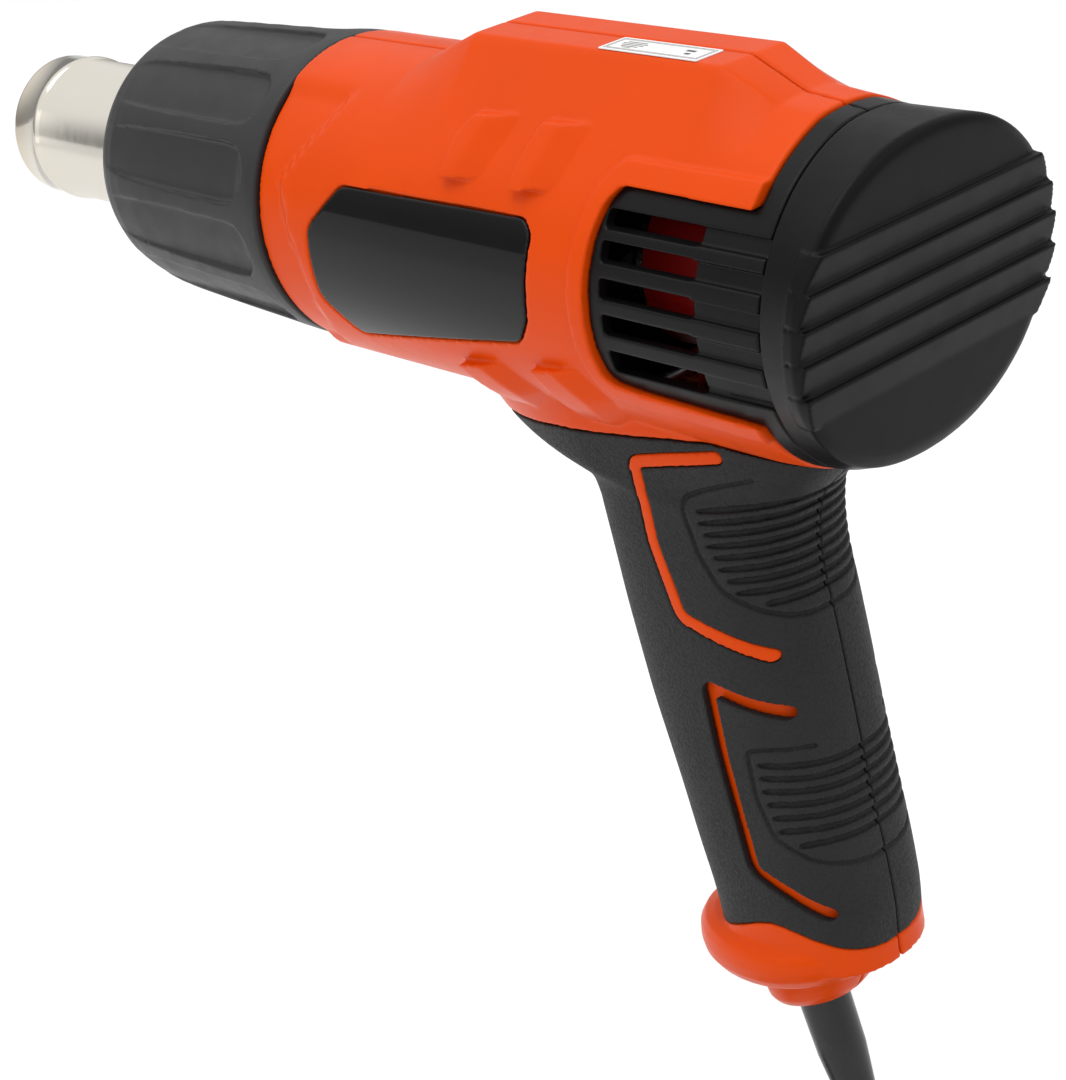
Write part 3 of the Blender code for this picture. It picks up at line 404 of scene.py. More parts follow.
def soften(ob, voxel, iters=4, factor=0.5):
    """Rounds every edge a little, as a mould does: a fine voxel remesh and a light smoothing."""
    voxel = voxel * 1.0
    r = ob.modifiers.new("r", 'REMESH')
    r.mode = 'VOXEL'
    r.voxel_size = voxel
    r.adaptivity = 0.0
    s = ob.modifiers.new("s", 'SMOOTH')
    s.factor = factor
    s.iterations = iters
    bpy.context.view_layer.update()
    return apply_mods(ob)


def finish_piece(ob, name, material, body, nodes=(), sharp=None):
    for v in ob.data.vertices:
        v.co = m(v.co)
    ob.name = name
    ob.data.name = name
    ob.data.materials.clear()
    ob.data.materials.append(material)
    ob.data.shade_smooth()
    if sharp:
        ob.data.set_sharp_from_angle(angle=math.radians(sharp))
    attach(ob, body)
    if nodes:
        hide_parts(*nodes)
    return ob


def mirror_y(ob, name):
    c = copy(ob, name)
    for v in c.data.vertices:
        v.co.y = -v.co.y
    c.data.flip_normals()
    return c


def inset(poly, d):
    P = [np.array(p, float) for p in poly]
    n = len(P)
    area = sum(P[i][0] * P[(i + 1) % n][1] - P[(i + 1) % n][0] * P[i][1] for i in range(n))
    sg = 1.0 if area > 0 else -1.0
    out = []
    for i in range(n):
        a, b, c = P[i - 1], P[i], P[(i + 1) % n]
        e1, e2 = (b - a) / np.linalg.norm(b - a), (c - b) / np.linalg.norm(c - b)
        n1, n2 = sg * np.array([-e1[1], e1[0]]), sg * np.array([-e2[1], e2[0]])
        k = (n1 + n2) / (1 + float(n1 @ n2))
        out.append(tuple(b + d * k))
    return out


def rounded(poly, r, seg=5):
    """Rounds the corners of an outline."""
    P = [np.array(p, float) for p in poly]
    n = len(P)
    out = []
    for i in range(n):
        a, b, c = P[i - 1], P[i], P[(i + 1) % n]
        d1, d2 = a - b, c - b
        l1, l2 = np.linalg.norm(d1), np.linalg.norm(d2)
        rr = min(r, 0.45 * l1, 0.45 * l2)
        p0, p2 = b + d1 / l1 * rr, b + d2 / l2 * rr
        for k in range(seg + 1):
            t = k / seg
            out.append(tuple((1 - t) ** 2 * p0 + 2 * t * (1 - t) * b + t * t * p2))
    return out


def spline_pts(pts, step):
    P = [np.array(p, float) for p in pts]
    P = [2 * P[0] - P[1]] + P + [2 * P[-1] - P[-2]]
    out = []
    for i in range(1, len(P) - 2):
        for k in range(24):
            t = k / 24
            a, b, c, d = P[i - 1], P[i], P[i + 1], P[i + 2]
            out.append(0.5 * (2 * b + (c - a) * t + (2 * a - 5 * b + 4 * c - d) * t * t + (3 * b - a - 3 * c + d) * t ** 3))
    out.append(P[-2])
    A = np.array(out)
    L = np.concatenate([[0], np.cumsum(np.linalg.norm(np.diff(A, axis=0), axis=1))])
    n = max(2, int(round(L[-1] / step)) + 1)
    s = np.linspace(0, L[-1], n)
    return np.stack([np.interp(s, L, A[:, k]) for k in range(3)], 1), float(L[-1])


# ---------------------------------------------------------------- shared dimensions (as in the model)
BODY_R, WALL, HUMP_TOP = 35.3, 2.5, 43.2
CAP_JOIN, BAND_END, BODY_END = 12.0, 17.4, 161.6
FACE_RY, FACE_RZ, FACE_Z, FACE_TILT = 38.1, 32.9, 1.5, 5.0
RUBBER, CORE_WALL, GAP = 2.2, 2.2, 0.3
NOZZLE_R, TIP, GUARD_FRONT = 17.8, 285.6, 232.0
CORD_R, FLOOR_Z, COIL_X, COIL_Y = 3.75, -274.0, -24.0, 40.0
FRONT_DIR = Vector((0.176, 0, 0.984)).normalized()

# ---------------------------------------------------------------- cord: route first
BOOT_DIR = Vector((-0.30, 0.0, -0.954)).normalized()
BOOT_TOP = Vector((44.2, 0.0, -176.0)) - BOOT_DIR * 20.5
BOOT_LEN = 65.5
boot_end = BOOT_TOP + BOOT_DIR * BOOT_LEN
CORD_START = boot_end + BOOT_DIR * GAP
R_OUT, R_IN, COIL_H = 56.6, 33.4, 15.6
COIL_B = FLOOR_Z + 1.2
R_T = R_OUT + CORD_R + 0.6
PA = 60.0
PLUG_DIR = Vector((0.90, -0.436, 0.0)).normalized()
PLUG_AT = Vector((56.0, 65.0, FLOOR_Z + 10.4))
run = [tuple(CORD_START), tuple(CORD_START + BOOT_DIR * 9), (CORD_START.x - 6.5, -1.6, CORD_START.z - 18.5),
       (15.0, -9.5, -257.0), (-1.0, -18.0, -267.4), (COIL_X, COIL_Y - R_T - 0.4, COIL_B + CORD_R + 0.1)]
RA, _ = spline_pts(run, 2.5)


def coil_r(phi):
    """Radius of the wound cord's centre after phi degrees of winding."""
    outer = R_OUT - CORD_R - 0.15
    step = 7.72
    rs = [(0, R_T + 0.4), (50, outer), (345, outer), (410, outer - step), (705, outer - step), (770, outer - 2 * step),
          (1330, outer - 2 * step), (1375, outer - step), (1690, outer - step), (1735, outer), (1982, outer), (2010, R_T)]
    for (a, ra), (b, rb) in zip(rs, rs[1:]):
        if a <= phi <= b:
            return ra + (rb - ra) * smooth((phi - a) / (b - a))
    return rs[-1][1]


def coil_z(phi):
    return COIL_B + CORD_R + 0.1 + 7.6 * smooth((phi - 1015) / 65)


coil = []
ph = 12.0
while ph < 2010 - 6:
    th = math.radians(-90 - ph)
    r = coil_r(ph)
    coil.append((COIL_X + r * math.cos(th), COIL_Y + r * math.sin(th), coil_z(ph)))
    ph += 10.0
pa = math.radians(PA)
tail = [(COIL_X + R_T * math.cos(pa), COIL_Y + R_T * math.sin(pa), COIL_B + COIL_H - CORD_R - 0.2),
        (COIL_X + R_T * math.cos(pa) + 13, COIL_Y + R_T * math.sin(pa) - 7.5, COIL_B + 8.6),
        tuple(PLUG_AT - PLUG_DIR * 24 + Vector((0, 1.0, -5.2))), tuple(PLUG_AT - PLUG_DIR * 8 + Vector((0, 0, -0.15))),
        tuple(PLUG_AT - PLUG_DIR * GAP)]
TA, _ = spline_pts(tail, 2.5)
route = [tuple(p) for p in RA] + coil + [tuple(p) for p in TA]
cu = bpy.data.curves.new("mains_cord", 'CURVE')
cu.dimensions = '3D'
cu.bevel_depth = CORD_R * 0.001
cu.bevel_resolution = 6
cu.use_fill_caps = True
sp = cu.splines.new('POLY')
sp.points.add(len(route) - 1)
for p, q in zip(sp.points, route):
    p.co = (*m(q), 1.0)
sp.use_smooth = True
cord = bpy.data.objects.new("mains_cord", cu)
bpy.context.scene.collection.objects.link(cord)
cu.materials.append(M["pvc"])
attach(cord, "body")
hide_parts("cord_run", "cord_coil", "cord_tail")
LEN = sum((Vector(a) - Vector(b)).length for a, b in zip(route, route[1:])) * 0.001
print("cord length", round(LEN, 4))

# ---------------------------------------------------------------- the same surfaces as the model, at a finer grain
NB = 200
NH = 144


def hump_weight(x):
    return lerp(x, [10, 16, 27, 40, 109, 129, 135], [0, 0.10, 0.25, 1, 1, 0, 0])


RIDGE_TH = [-60, -40, -22, -7, 4, 14, 20, 31, 42, 60]
RIDGE_X = [153, 149.7, 147.4, 147.5, 149.8, 151.1, 152.5, 147.5, 142.5, 138]


def body_radius(x, th, off=0.0, front=True):
    s = math.sin(th)
    r = BODY_R
    if s < 0:
        r += 2.0 * s * s * smooth((x - 8) / 20)
    deg = math.degrees(th) if abs(math.degrees(th)) <= 90 else math.copysign(180, th) - math.degrees(th)
    if s > 0:
        t0, t1 = 41.1, 78.0
        rh = BODY_R
        if deg >= t1:
            rh = HUMP_TOP / s
        elif deg > t0:
            rh = BODY_R / math.cos(math.radians(deg - t0))
        r += hump_weight(x) * (rh - BODY_R)
    if front:
        edge = lerp(deg, RIDGE_TH, RIDGE_X)
        fade = smooth((62 - abs(deg)) / 10)
        r -= 1.5 * fade * smooth((x - edge) / 2.6)
    return r - off


def body_ring(x, off=0.0, n=None, front=True):
    n = n or NB
    out = []
    for i in range(n):
        th = 2 * math.pi * (i + 0.5) / n - math.pi / 2
        if th > math.pi:
            th -= 2 * math.pi
        r = body_radius(x, th, off, front)
        out.append((x, r * math.cos(th), r * math.sin(th)))
    return out


def barrel(name, off, x0, x1, front=True):
    xs = sorted(set([-4, 4, 12, 17.4, 22, 27, 33, 40, 60, 85, 109, 119, 129] + list(np.arange(134, 160, 2.0)) + [BODY_END]))
    xs = [x0] + [x for x in xs if x0 + 0.8 < x < x1 - 0.8] + [x1]
    return loft(name, [body_ring(x, off, front=front) for x in xs])


HZ = [-168, -151, -145, -133, -120, -110, -99, -88, -77, -64, -57, -53, -49, -46.8, -45.5, -43, -38, -30, -20]
HF = [62.0, 64.7, 65.8, 69.5, 72.7, 75.6, 78.9, 81.3, 83.7, 85.8, 87.2, 88.0, 90.5, 97, 112, 125, 132, 138, 142]
HR = [18.0, 20.8, 20.2, 21.6, 23.9, 25.5, 27.2, 28.8, 30.5, 33.0, 33.2, 32.8, 32.0, 31.0, 30.0, 27.5, 22.5, 19.5, 19.0]
HB = [19.0, 19.5, 19.5, 19.7, 19.9, 20.0, 20.1, 20.2, 20.3, 20.4, 20.5, 20.5, 20.6, 20.8, 21.0, 21.3, 21.8, 22.5, 23.0]
HK = [0, 0, 0, 0, 0, 0, 0, 0, 0, 0, 0, 0, 0.05, 0.2, 0.45, 0.6, 0.65, 0.65, 0.65]


def soft_lerp(z, ys, w):
    """The table read with a little rounding, so no crease runs round the handle."""
    ks = (-1.0, -0.5, 0.0, 0.5, 1.0)
    ws = (0.12, 0.23, 0.30, 0.23, 0.12)
    return sum(a * lerp(z + k * w, HZ, ys) for k, a in zip(ks, ws))


def handle_ring(z, off=0.0, n=None):
    n = n or NH
    w = 5.0 if z < -60 else (1.2 if z > -55 else 3.0)
    xf, xr, b, k = (soft_lerp(z, t, w) for t in (HF, HR, HB, HK))
    xc, a = (xf + xr) / 2, (xf - xr) / 2 - off
    b -= off
    e = 2 / 2.4
    out = []
    for i in range(n):
        p = 2 * math.pi * (i + 0.5) / n
        c, s = math.cos(p), math.sin(p)
        x = a * math.copysign(abs(c) ** e, c)
        y = b * math.copysign(abs(s) ** e, s)
        if x > 0:
            y *= 1 - k * (x / a) ** 1.5
        out.append((xc + x, y, z))
    return out


def handle(name, off, z0, z1):
    zs = list(np.arange(math.ceil(z0), -56, 3.0)) + list(np.arange(-56, -42, 0.8)) + list(np.arange(-42, -20, 2.0))
    zs = [z0] + [z for z in zs if z0 + 0.5 < z < z1 - 0.5] + [z1]
    return loft(name, [handle_ring(z, off) for z in zs])


def ell(xc, zc, k, rf, rr, ry, n=96):
    out = []
    for i in range(n):
        p = 2 * math.pi * (i + 0.5) / n
        c, s = math.cos(p), math.sin(p)
        x = (rf if c > 0 else rr) * c
        out.append((xc + x, ry * s, zc + k * x))
    return out


SEAM_X = [0, 10, 22, 33, 54, 86, 108, 123, 150]


def seam(x):
    xs, ys = [10, 22, 33, 54, 86, 108, 123, 140], [-33.5, -34.6, -30.2, -32.2, -36.0, -40.5, -44.6, -49]
    return sum(lerp(x + d, xs, ys) for d in (-4, -2, 0, 2, 4)) / 5


WINDOW = [(8.0, 23.4), (51.3, 23.5), (54.0, 20.5), (55.7, 14.2), (56.8, 5.5), (57.2, -2.0), (57.2, -9.0),
          (56.3, -14.5), (54.0, -16.3), (46.8, -17.1), (23.4, -17.9), (8.0, -19.0)]
BADGE = [(132.6, 14.1), (75.5, 15.1), (72.8, 12.3), (73.7, 6.2), (75.2, -5.9), (79.8, -12.1), (137.8, -22.3),
         (145.0, -13.1), (143.4, 3.9)]
SLOTS = [(18.9, 16.0), (13.3, 9.9), (6.3, 2.8), (-1.0, -4.6), (-8.6, -13.0)]
PADS = [
    [(100.8, 19.7), (91.4, 20.2), (86.6, 31.4), (97.5, 31.0), (100.6, 26.5)],
    [(80.5, 20.0), (70.0, 20.5), (66.4, 31.8), (77.7, 31.5), (79.6, 26.4)],
    [(103.5, -21.8), (90.0, -19.4), (85.6, -26.5), (87.0, -33.5), (100.0, -33.5)],
    [(78.3, -17.3), (65.6, -15.5), (60.8, -22.1), (61.6, -31.0), (74.0, -31.0)],
]
PAD_REAR = [[(20.2, 91.4), (31.4, 86.6)], [(20.5, 70.0), (31.8, 66.4)], [(-33.5, 87.0), (-26.5, 85.6), (-19.4, 90.0)],
            [(-31.0, 61.6), (-22.1, 60.8), (-15.5, 65.6)]]
SCREWS = [(66, -26.5, -16.5, 20.5), (128, -29.5, -9.5, 14.5), (134, 28.0, -9.5, 14.0), (66, 31.0, -9.5, 15.0),
          (57, -100.0, -12.0, 17.2), (38, -146.0, -10.5, 16.4)]
ACCENTS = [
    [(42.8, -34.9), (54.9, -37.2), (64.1, -39.4), (61.8, -57.4), (56.1, -73.5), (45.8, -76.5), (36.4, -79.6)],
    [(34.0, -92.6), (42.6, -90.7), (50.8, -88.8), (48.6, -104.9), (43.0, -131.6), (35.1, -135.0), (27.1, -139.6)],
]


def ribbon(pts, w, ends=6):
    """Outline of a bent band with round ends and rounded bends."""
    P = [np.array(p, float) for p in pts]
    Q = [P[0]]
    for i in range(1, len(P) - 1):
        a, b, c = P[i - 1], P[i], P[i + 1]
        r = min(1.9, 0.4 * np.linalg.norm(a - b), 0.4 * np.linalg.norm(c - b))
        p0, p2 = b + (a - b) / np.linalg.norm(a - b) * r, b + (c - b) / np.linalg.norm(c - b) * r
        for k in range(5):
            t = k / 4
            Q.append((1 - t) ** 2 * p0 + 2 * t * (1 - t) * b + t * t * p2)
    Q.append(P[-1])
    L, R = [], []
    for i, p in enumerate(Q):
        a, b = Q[max(0, i - 1)], Q[min(len(Q) - 1, i + 1)]
        t = (b - a) / np.linalg.norm(b - a)
        n = np.array([-t[1], t[0]])
        L.append(tuple(p + n * w / 2))
        R.append(tuple(p - n * w / 2))
    cap0, cap1 = [], []
    for e, (p, q) in enumerate(((Q[-1], Q[-2]), (Q[0], Q[1]))):
        t = (p - q) / np.linalg.norm(p - q)
        n = np.array([-t[1], t[0]])
        arc = [tuple(p + w / 2 * (n * math.cos(math.pi * k / ends) + t * math.sin(math.pi * k / ends))) for k in range(1, ends)]
        (cap0 if e == 0 else cap1).extend(arc)
    return L + cap0 + R[::-1] + cap1


GRIP_END = [(5, -150.8), (15, -150.5), (20.7, -150.0), (24.3, -148.4), (28.5, -146.4), (32.5, -144.9), (36.5, -144.0), (39.6, -143.9),
            (44.0, -145.4), (49.0, -148.0), (54.0, -150.6), (60.0, -153.0), (68.0, -155.2), (95, -157.5)]


def half_box(y0=0.15):
    return block("half", (-40, y0, -220), (300, 90, 90))


# ---------------------------------------------------------------- housing, left half first
h = barrel("housing", 0.0, BAND_END + GAP, BODY_END)
root = handle("root", 0.0, -60, -22)
boole(root, prism("orange_zone", [(x, seam(x)) for x in SEAM_X] + [(150, 60), (0, 60)], -60, 60), 'INTERSECT')
boole(h, root, 'UNION')
boole(h, handle("core", RUBBER, -155.5, -22), 'UNION')
collar = loft("collar", [
    ell(43.0, -150.5, -0.10, 17, 15, 15), ell(43.0, -151.0, -0.12, 26, 20.3, 20.4), ell(43.0, -152.2, -0.13, 29.5, 21.4, 21.6),
    ell(43.0, -154.0, -0.15, 31.0, 22.0, 22.3), ell(43.0, -156.5, -0.17, 31.2, 22.0, 22.4), ell(43.0, -159.0, -0.19, 30.6, 21.2, 21.8),
    ell(43.0, -161.5, -0.21, 28.6, 19.4, 20.0), ell(43.2, -163.2, -0.23, 25.0, 17.0, 17.6), ell(43.4, -164.2, -0.25, 19.0, 14.8, 15.2),
    ell(43.7, -165.2, -0.27, 14.4, 13.4, 13.6), ell(44.2, -168.4, -0.30, 13.2, 12.6, 12.7), ell(44.6, -171.2, -0.31, 12.2, 11.6, 11.7),
    ell(45.0, -173.2, -0.31, 10.6, 10.2, 10.2), ell(45.0, -174.0, -0.31, 9.4, 9.0, 9.0)])
foot = handle("foot", 0.0, -155.5, -138)
boole(foot, prism("foot_zone", [(x, z - GAP) for x, z in GRIP_END] + [(95, -175), (5, -175)], -60, 60), 'INTERSECT')
boole(h, foot, 'UNION')
boole(h, collar, 'UNION')
boole(h, barrel("in", WALL, BAND_END - 6, BODY_END + 8), 'DIFFERENCE')
boole(h, handle("core_in", RUBBER + CORE_WALL, -149, -26), 'DIFFERENCE')
boole(h, rod("cone_hole", tuple(Vector((44.2, 0, -176)) + BOOT_DIR * 16), tuple(Vector((44.2, 0, -176)) - BOOT_DIR * 17.5), 6.4),
      'DIFFERENCE')
# raised pads: steep in front, running out in a slope at the rear
for pad, rear in zip(PADS, PAD_REAR):
    xa, xb = min(x for x, z in pad) - 1, max(x for x, z in pad) + 1
    rings = []
    for x in np.arange(xa, xb + 0.5, 0.8):
        ring = []
        for xx, y, z in body_ring(x, 0.0, front=False):
            xr = lerp(z, [p[0] for p in rear], [p[1] for p in rear])
            rr = math.hypot(y, z)
            f = (rr + 0.25 + 2.1 * min(1.0, max(0.0, (x - xr) / 5.5))) / rr
            ring.append((x, y * f, z * f))
        rings.append(ring)
    lv = prism("pad", rounded(pad, 0.9), 6, 60)
    boole(lv, loft("pad_skin", rings), 'INTERSECT')
    boole(lv, barrel("pc", 1.0, 49, 121, front=False), 'DIFFERENCE')
    boole(h, lv, 'UNION')
# raised rim round the front and foot of the intake
rim = prism("rim", rounded([(x, z) for x, z in inset(WINDOW, -4.3)], 2.0), 6, 60)
boole(rim, barrel("rb", -1.25, BAND_END + GAP, 80), 'INTERSECT')
boole(rim, barrel("rc", 1.0, 10, 81), 'DIFFERENCE')
boole(h, rim, 'UNION')
boole(h, prism("window", rounded(WINDOW, 1.2), 14, 60), 'DIFFERENCE')
pocket = prism("pocket", rounded(BADGE, 2.2), 10, 60)
boole(pocket, barrel("pocket_floor", 1.3, 60, 158), 'DIFFERENCE')
boole(h, pocket, 'DIFFERENCE')
# accents: ridges of the core that fill the slots in the rubber
for pts in ACCENTS:
    a = prism("acc", ribbon(pts, 3.0), 8.5, 50)
    boole(a, handle("acc_out", 0.0, -164, -30), 'INTERSECT')
    boole(a, handle("acc_in", RUBBER + 1.0, -166, -28), 'DIFFERENCE')
    boole(h, a, 'UNION')
slot_ang = math.atan2(FRONT_DIR.x, FRONT_DIR.z)
SW = Vector((84.3, 0.0, -69.0))
ROT_SW = Matrix.Rotation(slot_ang, 3, 'Y')
boole(h, block("sl", (SW.x - 9, -5.6, SW.z - 15), (SW.x + 9, 5.6, SW.z + 15), ROT_SW), 'DIFFERENCE')
right = mirror_y(h, "housing_r")
for hh, side in ((h, "left"), (right, "right")):
    if side == "right":
        for x, z, seat, far in SCREWS:
            boole(hh, rod("boss", (x, -far, z), (x, -0.2, z), 3.4, 24), 'UNION')
            boole(hh, rod("shank", (x, 2, z), (x, -60, z), 1.75, 20), 'DIFFERENCE')
            boole(hh, rod("head", (x, seat, z), (x, -60, z), 3.0, 32), 'DIFFERENCE')
        boole(hh, block("half", (-40, -90, -220), (300, -0.15, 90)), 'INTERSECT')
    else:
        boole(hh, half_box(), 'INTERSECT')
    soften(hh, 0.46, 4)
    finish_piece(hh, f"shell_{side}", M["orange"], "body", (f"housing_{side}",))

# ---------------------------------------------------------------- rubber grips
g = handle("grip", 0.0, -164, -22)
boole(g, prism("rubber_zone", [(x, seam(x) - GAP) for x in SEAM_X] + [(150, -175), (0, -175)], -60, 60), 'INTERSECT')
boole(g, handle("core_clear", RUBBER - GAP, -167, -22), 'DIFFERENCE')
boole(g, barrel("barrel_clear", -GAP, 10, 165, front=False), 'DIFFERENCE')
boole(g, prism("grip_end", GRIP_END + [(95, -230), (5, -230)], -60, 60), 'DIFFERENCE')
boole(g, block("sl", (SW.x - 9, -5.6, SW.z - 15), (SW.x + 9, 5.6, SW.z + 15), ROT_SW), 'DIFFERENCE')
for pts in ACCENTS:
    boole(g, prism("acc", ribbon(pts, 3.3), 8.5, 50), 'DIFFERENCE')


def groove(p0, p1, p2, w):
    c = []
    for i in range(9):
        t = i / 8
        c.append((1 - t) ** 2 * np.array(p0) + 2 * t * (1 - t) * np.array(p1) + t * t * np.array(p2))
    up, dn = [], []
    for i, p in enumerate(c):
        a, b = c[max(0, i - 1)], c[min(8, i + 1)]
        t = (b - a) / np.linalg.norm(b - a)
        n = np.array([-t[1], t[0]])
        ww = w * min(1.0, 0.25 + i / 2.0)
        up.append(tuple(p + n * ww / 2))
        dn.append(tuple(p - n * ww / 2))
    return up + dn[::-1]


def ribbed(n, z0, z1, edge_z, edge_x, rise0, rise1, x_end):
    """Grooves that start on the flank, rise a little to the rear and wrap round the back."""
    for k in range(n):
        t = k / (n - 1)
        z = z0 + (z1 - z0) * t
        up = rise0 + (rise1 - rise0) * t
        x = lerp(z, edge_z, edge_x) - 1.4
        xm = min(36.5, x - 2) if x > 30 else x - 2
        cut = prism("groove", groove((x, z), (xm + 2, z + up * 0.75), (x_end, z + up), 1.4), 0.0, 60)
        boole(cut, handle("gf", 1.05, -160, -30), 'DIFFERENCE')
        boole(g, cut, 'DIFFERENCE')


ribbed(9, -48.4, -68.6, [-71.6, -68.3, -65.6, -58.1, -48.2], [34.0, 39.5, 45.1, 49.4, 52.3], 3.6, 1.2, 16.0)
ribbed(7, -105.4, -124.0, [-126.6, -122.0, -112.7, -102.2], [29.0, 36.9, 40.6, 42.1], 1.2, 2.6, 10.0)
for pts in ([(36.1, -39.6), (46.0, -42.6), (51.8, -45.1), (52.3, -48.2), (49.4, -58.1), (45.1, -65.6), (39.5, -68.9), (32.9, -72.0),
             (24.0, -73.4)],
            [(30.0, -100.6), (38.0, -101.2), (42.1, -102.2), (40.6, -112.7), (36.9, -122.0), (29.0, -126.9), (20.0, -129.6),
             (10.0, -130.0)]):
    cut = prism("patch_line", ribbon(pts, 0.9), 0.0, 60)
    boole(cut, handle("gf", 0.8, -160, -30), 'DIFFERENCE')
    boole(g, cut, 'DIFFERENCE')
gr = mirror_y(g, "grip_r")
for gg, side in ((g, "left"), (gr, "right")):
    if side == "right":
        for i in (4, 5):
            x, z, seat, far = SCREWS[i]
            boole(gg, rod("gh", (x, -5, z), (x, -60, z), 3.4, 32), 'DIFFERENCE')
        boole(gg, block("half", (-40, -90, -220), (300, -0.12, 90)), 'INTERSECT')
    else:
        boole(gg, half_box(0.12), 'INTERSECT')
    soften(gg, 0.34, 2)
    finish_piece(gg, f"rubber_{side}", M["rubber"], "body", (f"grip_{side}",))

# ---------------------------------------------------------------- badges
b = prism("badge", rounded(inset(BADGE, 0.35), 2.0), 12, 60)
boole(b, barrel("bo", 0.05, 60, 158, front=False), 'INTERSECT')
boole(b, barrel("bi", 0.9, 58, 159, front=False), 'DIFFERENCE')
br = mirror_y(b, "badge_r")
for bb, side in ((b, "left"), (br, "right")):
    soften(bb, 0.3, 3)
    finish_piece(bb, f"inlay_{side}", M["gloss"], "body", (f"badge_{side}",))

# ---------------------------------------------------------------- intake
it = prism("intake", rounded(inset(WINDOW, 0.35), 1.0), 14.6, 60)
boole(it, block("ring", (0, -60, -60), (BAND_END - 0.1, 60, 60)), 'UNION')
boole(it, block("behind", (-10, -70, -70), (CAP_JOIN + GAP, 70, 70)), 'DIFFERENCE')
boole(it, barrel("io", 0.35, 5, 80, front=False), 'INTERSECT')
boole(it, barrel("ii", WALL + 0.4, 4, 81, front=False), 'DIFFERENCE')
for z1, z0 in SLOTS:
    z1, z0 = z1 + 0.35, z0 - 0.25
    # each opening is a slanted louvre gap: open in front, a shallow groove behind
    boole(it, block("slot", (29.5, 14, z0), (53.6, 60, z1)), 'DIFFERENCE')
    gcut = block("gr", (5, 14, z0 + 0.2), (30, 60, z1 - 0.2))
    boole(gcut, barrel("gi", 1.5, -5, 60, front=False), 'DIFFERENCE')
    boole(it, gcut, 'DIFFERENCE')
ir = mirror_y(it, "intake_r")
for ii, side in ((it, "left"), (ir, "right")):
    if side == "right":
        boole(ii, block("half", (-40, -90, -220), (300, -0.12, 90)), 'INTERSECT')
    else:
        boole(ii, half_box(0.12), 'INTERSECT')
    soften(ii, 0.34, 3)
    finish_piece(ii, f"louvre_{side}", M["black"], "body", (f"intake_{side}",))

# ---------------------------------------------------------------- rear cap
tt = math.tan(math.radians(FACE_TILT))


def cap_ring(t, off=0.0, push=0.0, n=None, flat=None):
    n = n or NB
    out = []
    for i in range(n):
        th = 2 * math.pi * (i + 0.5) / n - math.pi / 2
        c, s = math.cos(th), math.sin(th)
        ry, rz = FACE_RY - off, FACE_RZ - off
        e = 2 / 2.15
        yf = ry * math.copysign(abs(c) ** e, c)
        zf_ = FACE_Z + rz * math.copysign(abs(s) ** e, s)
        rb = body_radius(CAP_JOIN, math.atan2(s, c), off + 0.3)
        y = yf + (rb * c - yf) * t
        z = zf_ + (rb * s - zf_) * t
        x = (-tt * (z - FACE_Z)) * (1 - t) + CAP_JOIN * t + push
        out.append((x, y, z))
    return out


cap = loft("cap", [cap_ring(0.0, 3.2, 0.05), cap_ring(0.0, 2.2, 0.12), cap_ring(0.02, 1.1, 0.25), cap_ring(0.05, 0.4, 0.3),
                   cap_ring(0.12, 0.0), cap_ring(0.3, 0.0), cap_ring(0.55, 0.0), cap_ring(0.8, 0.0), cap_ring(1.0, 0.0)])
RIBS = [19.2, 12.4, 5.9, -0.9, -7.8, -15.4]
for k in range(5):
    z1, z0 = RIBS[k], RIBS[k + 1]
    # a plank of the stepped face: proud along its upper edge, running out at its lower edge
    n = 160
    top = 1.15
    outline = []
    for i in range(n):
        th = 2 * math.pi * (i + 0.5) / n
        c, s = math.cos(th), math.sin(th)
        e = 2 / 2.15
        outline.append(((FACE_RY - 0.5) * math.copysign(abs(c) ** e, c), FACE_Z + (FACE_RZ - 0.5) * math.copysign(abs(s) ** e, s)))
    slab = loft("slab", [[(-tt * (z - FACE_Z) - 1.9, y * 0.985, FACE_Z + (z - FACE_Z) * 0.985) for y, z in outline],
                         [(-tt * (z - FACE_Z) - 1.4, y, z) for y, z in outline],
                         [(-tt * (z - FACE_Z) + 1.6, y * 1.012, FACE_Z + (z - FACE_Z) * 1.012) for y, z in outline],
                         [(-tt * (z - FACE_Z) + 4.4, y * 1.0, z) for y, z in outline]])
    x1, x0 = -tt * (z1 - FACE_Z), -tt * (z0 - FACE_Z)
    wedge = prism("wedge", [(x1 - top, z1), (x1 - top + 0.15, z1 + 0.25), (x1 + 8, z1 + 0.25), (x0 + 8, z0 + 0.9), (x0 + 0.1, z0 + 0.9)],
                  -60, 60)
    boole(slab, wedge, 'INTERSECT')
    boole(cap, slab, 'UNION')
boole(cap, loft("cap_in", [cap_ring(0.35, WALL), cap_ring(1.0, WALL), cap_ring(1.0, WALL, 6.0)]), 'DIFFERENCE')
soften(cap, 0.38, 2)
finish_piece(cap, "cap_shell", M["cap"], "body", ("rear_cap",))

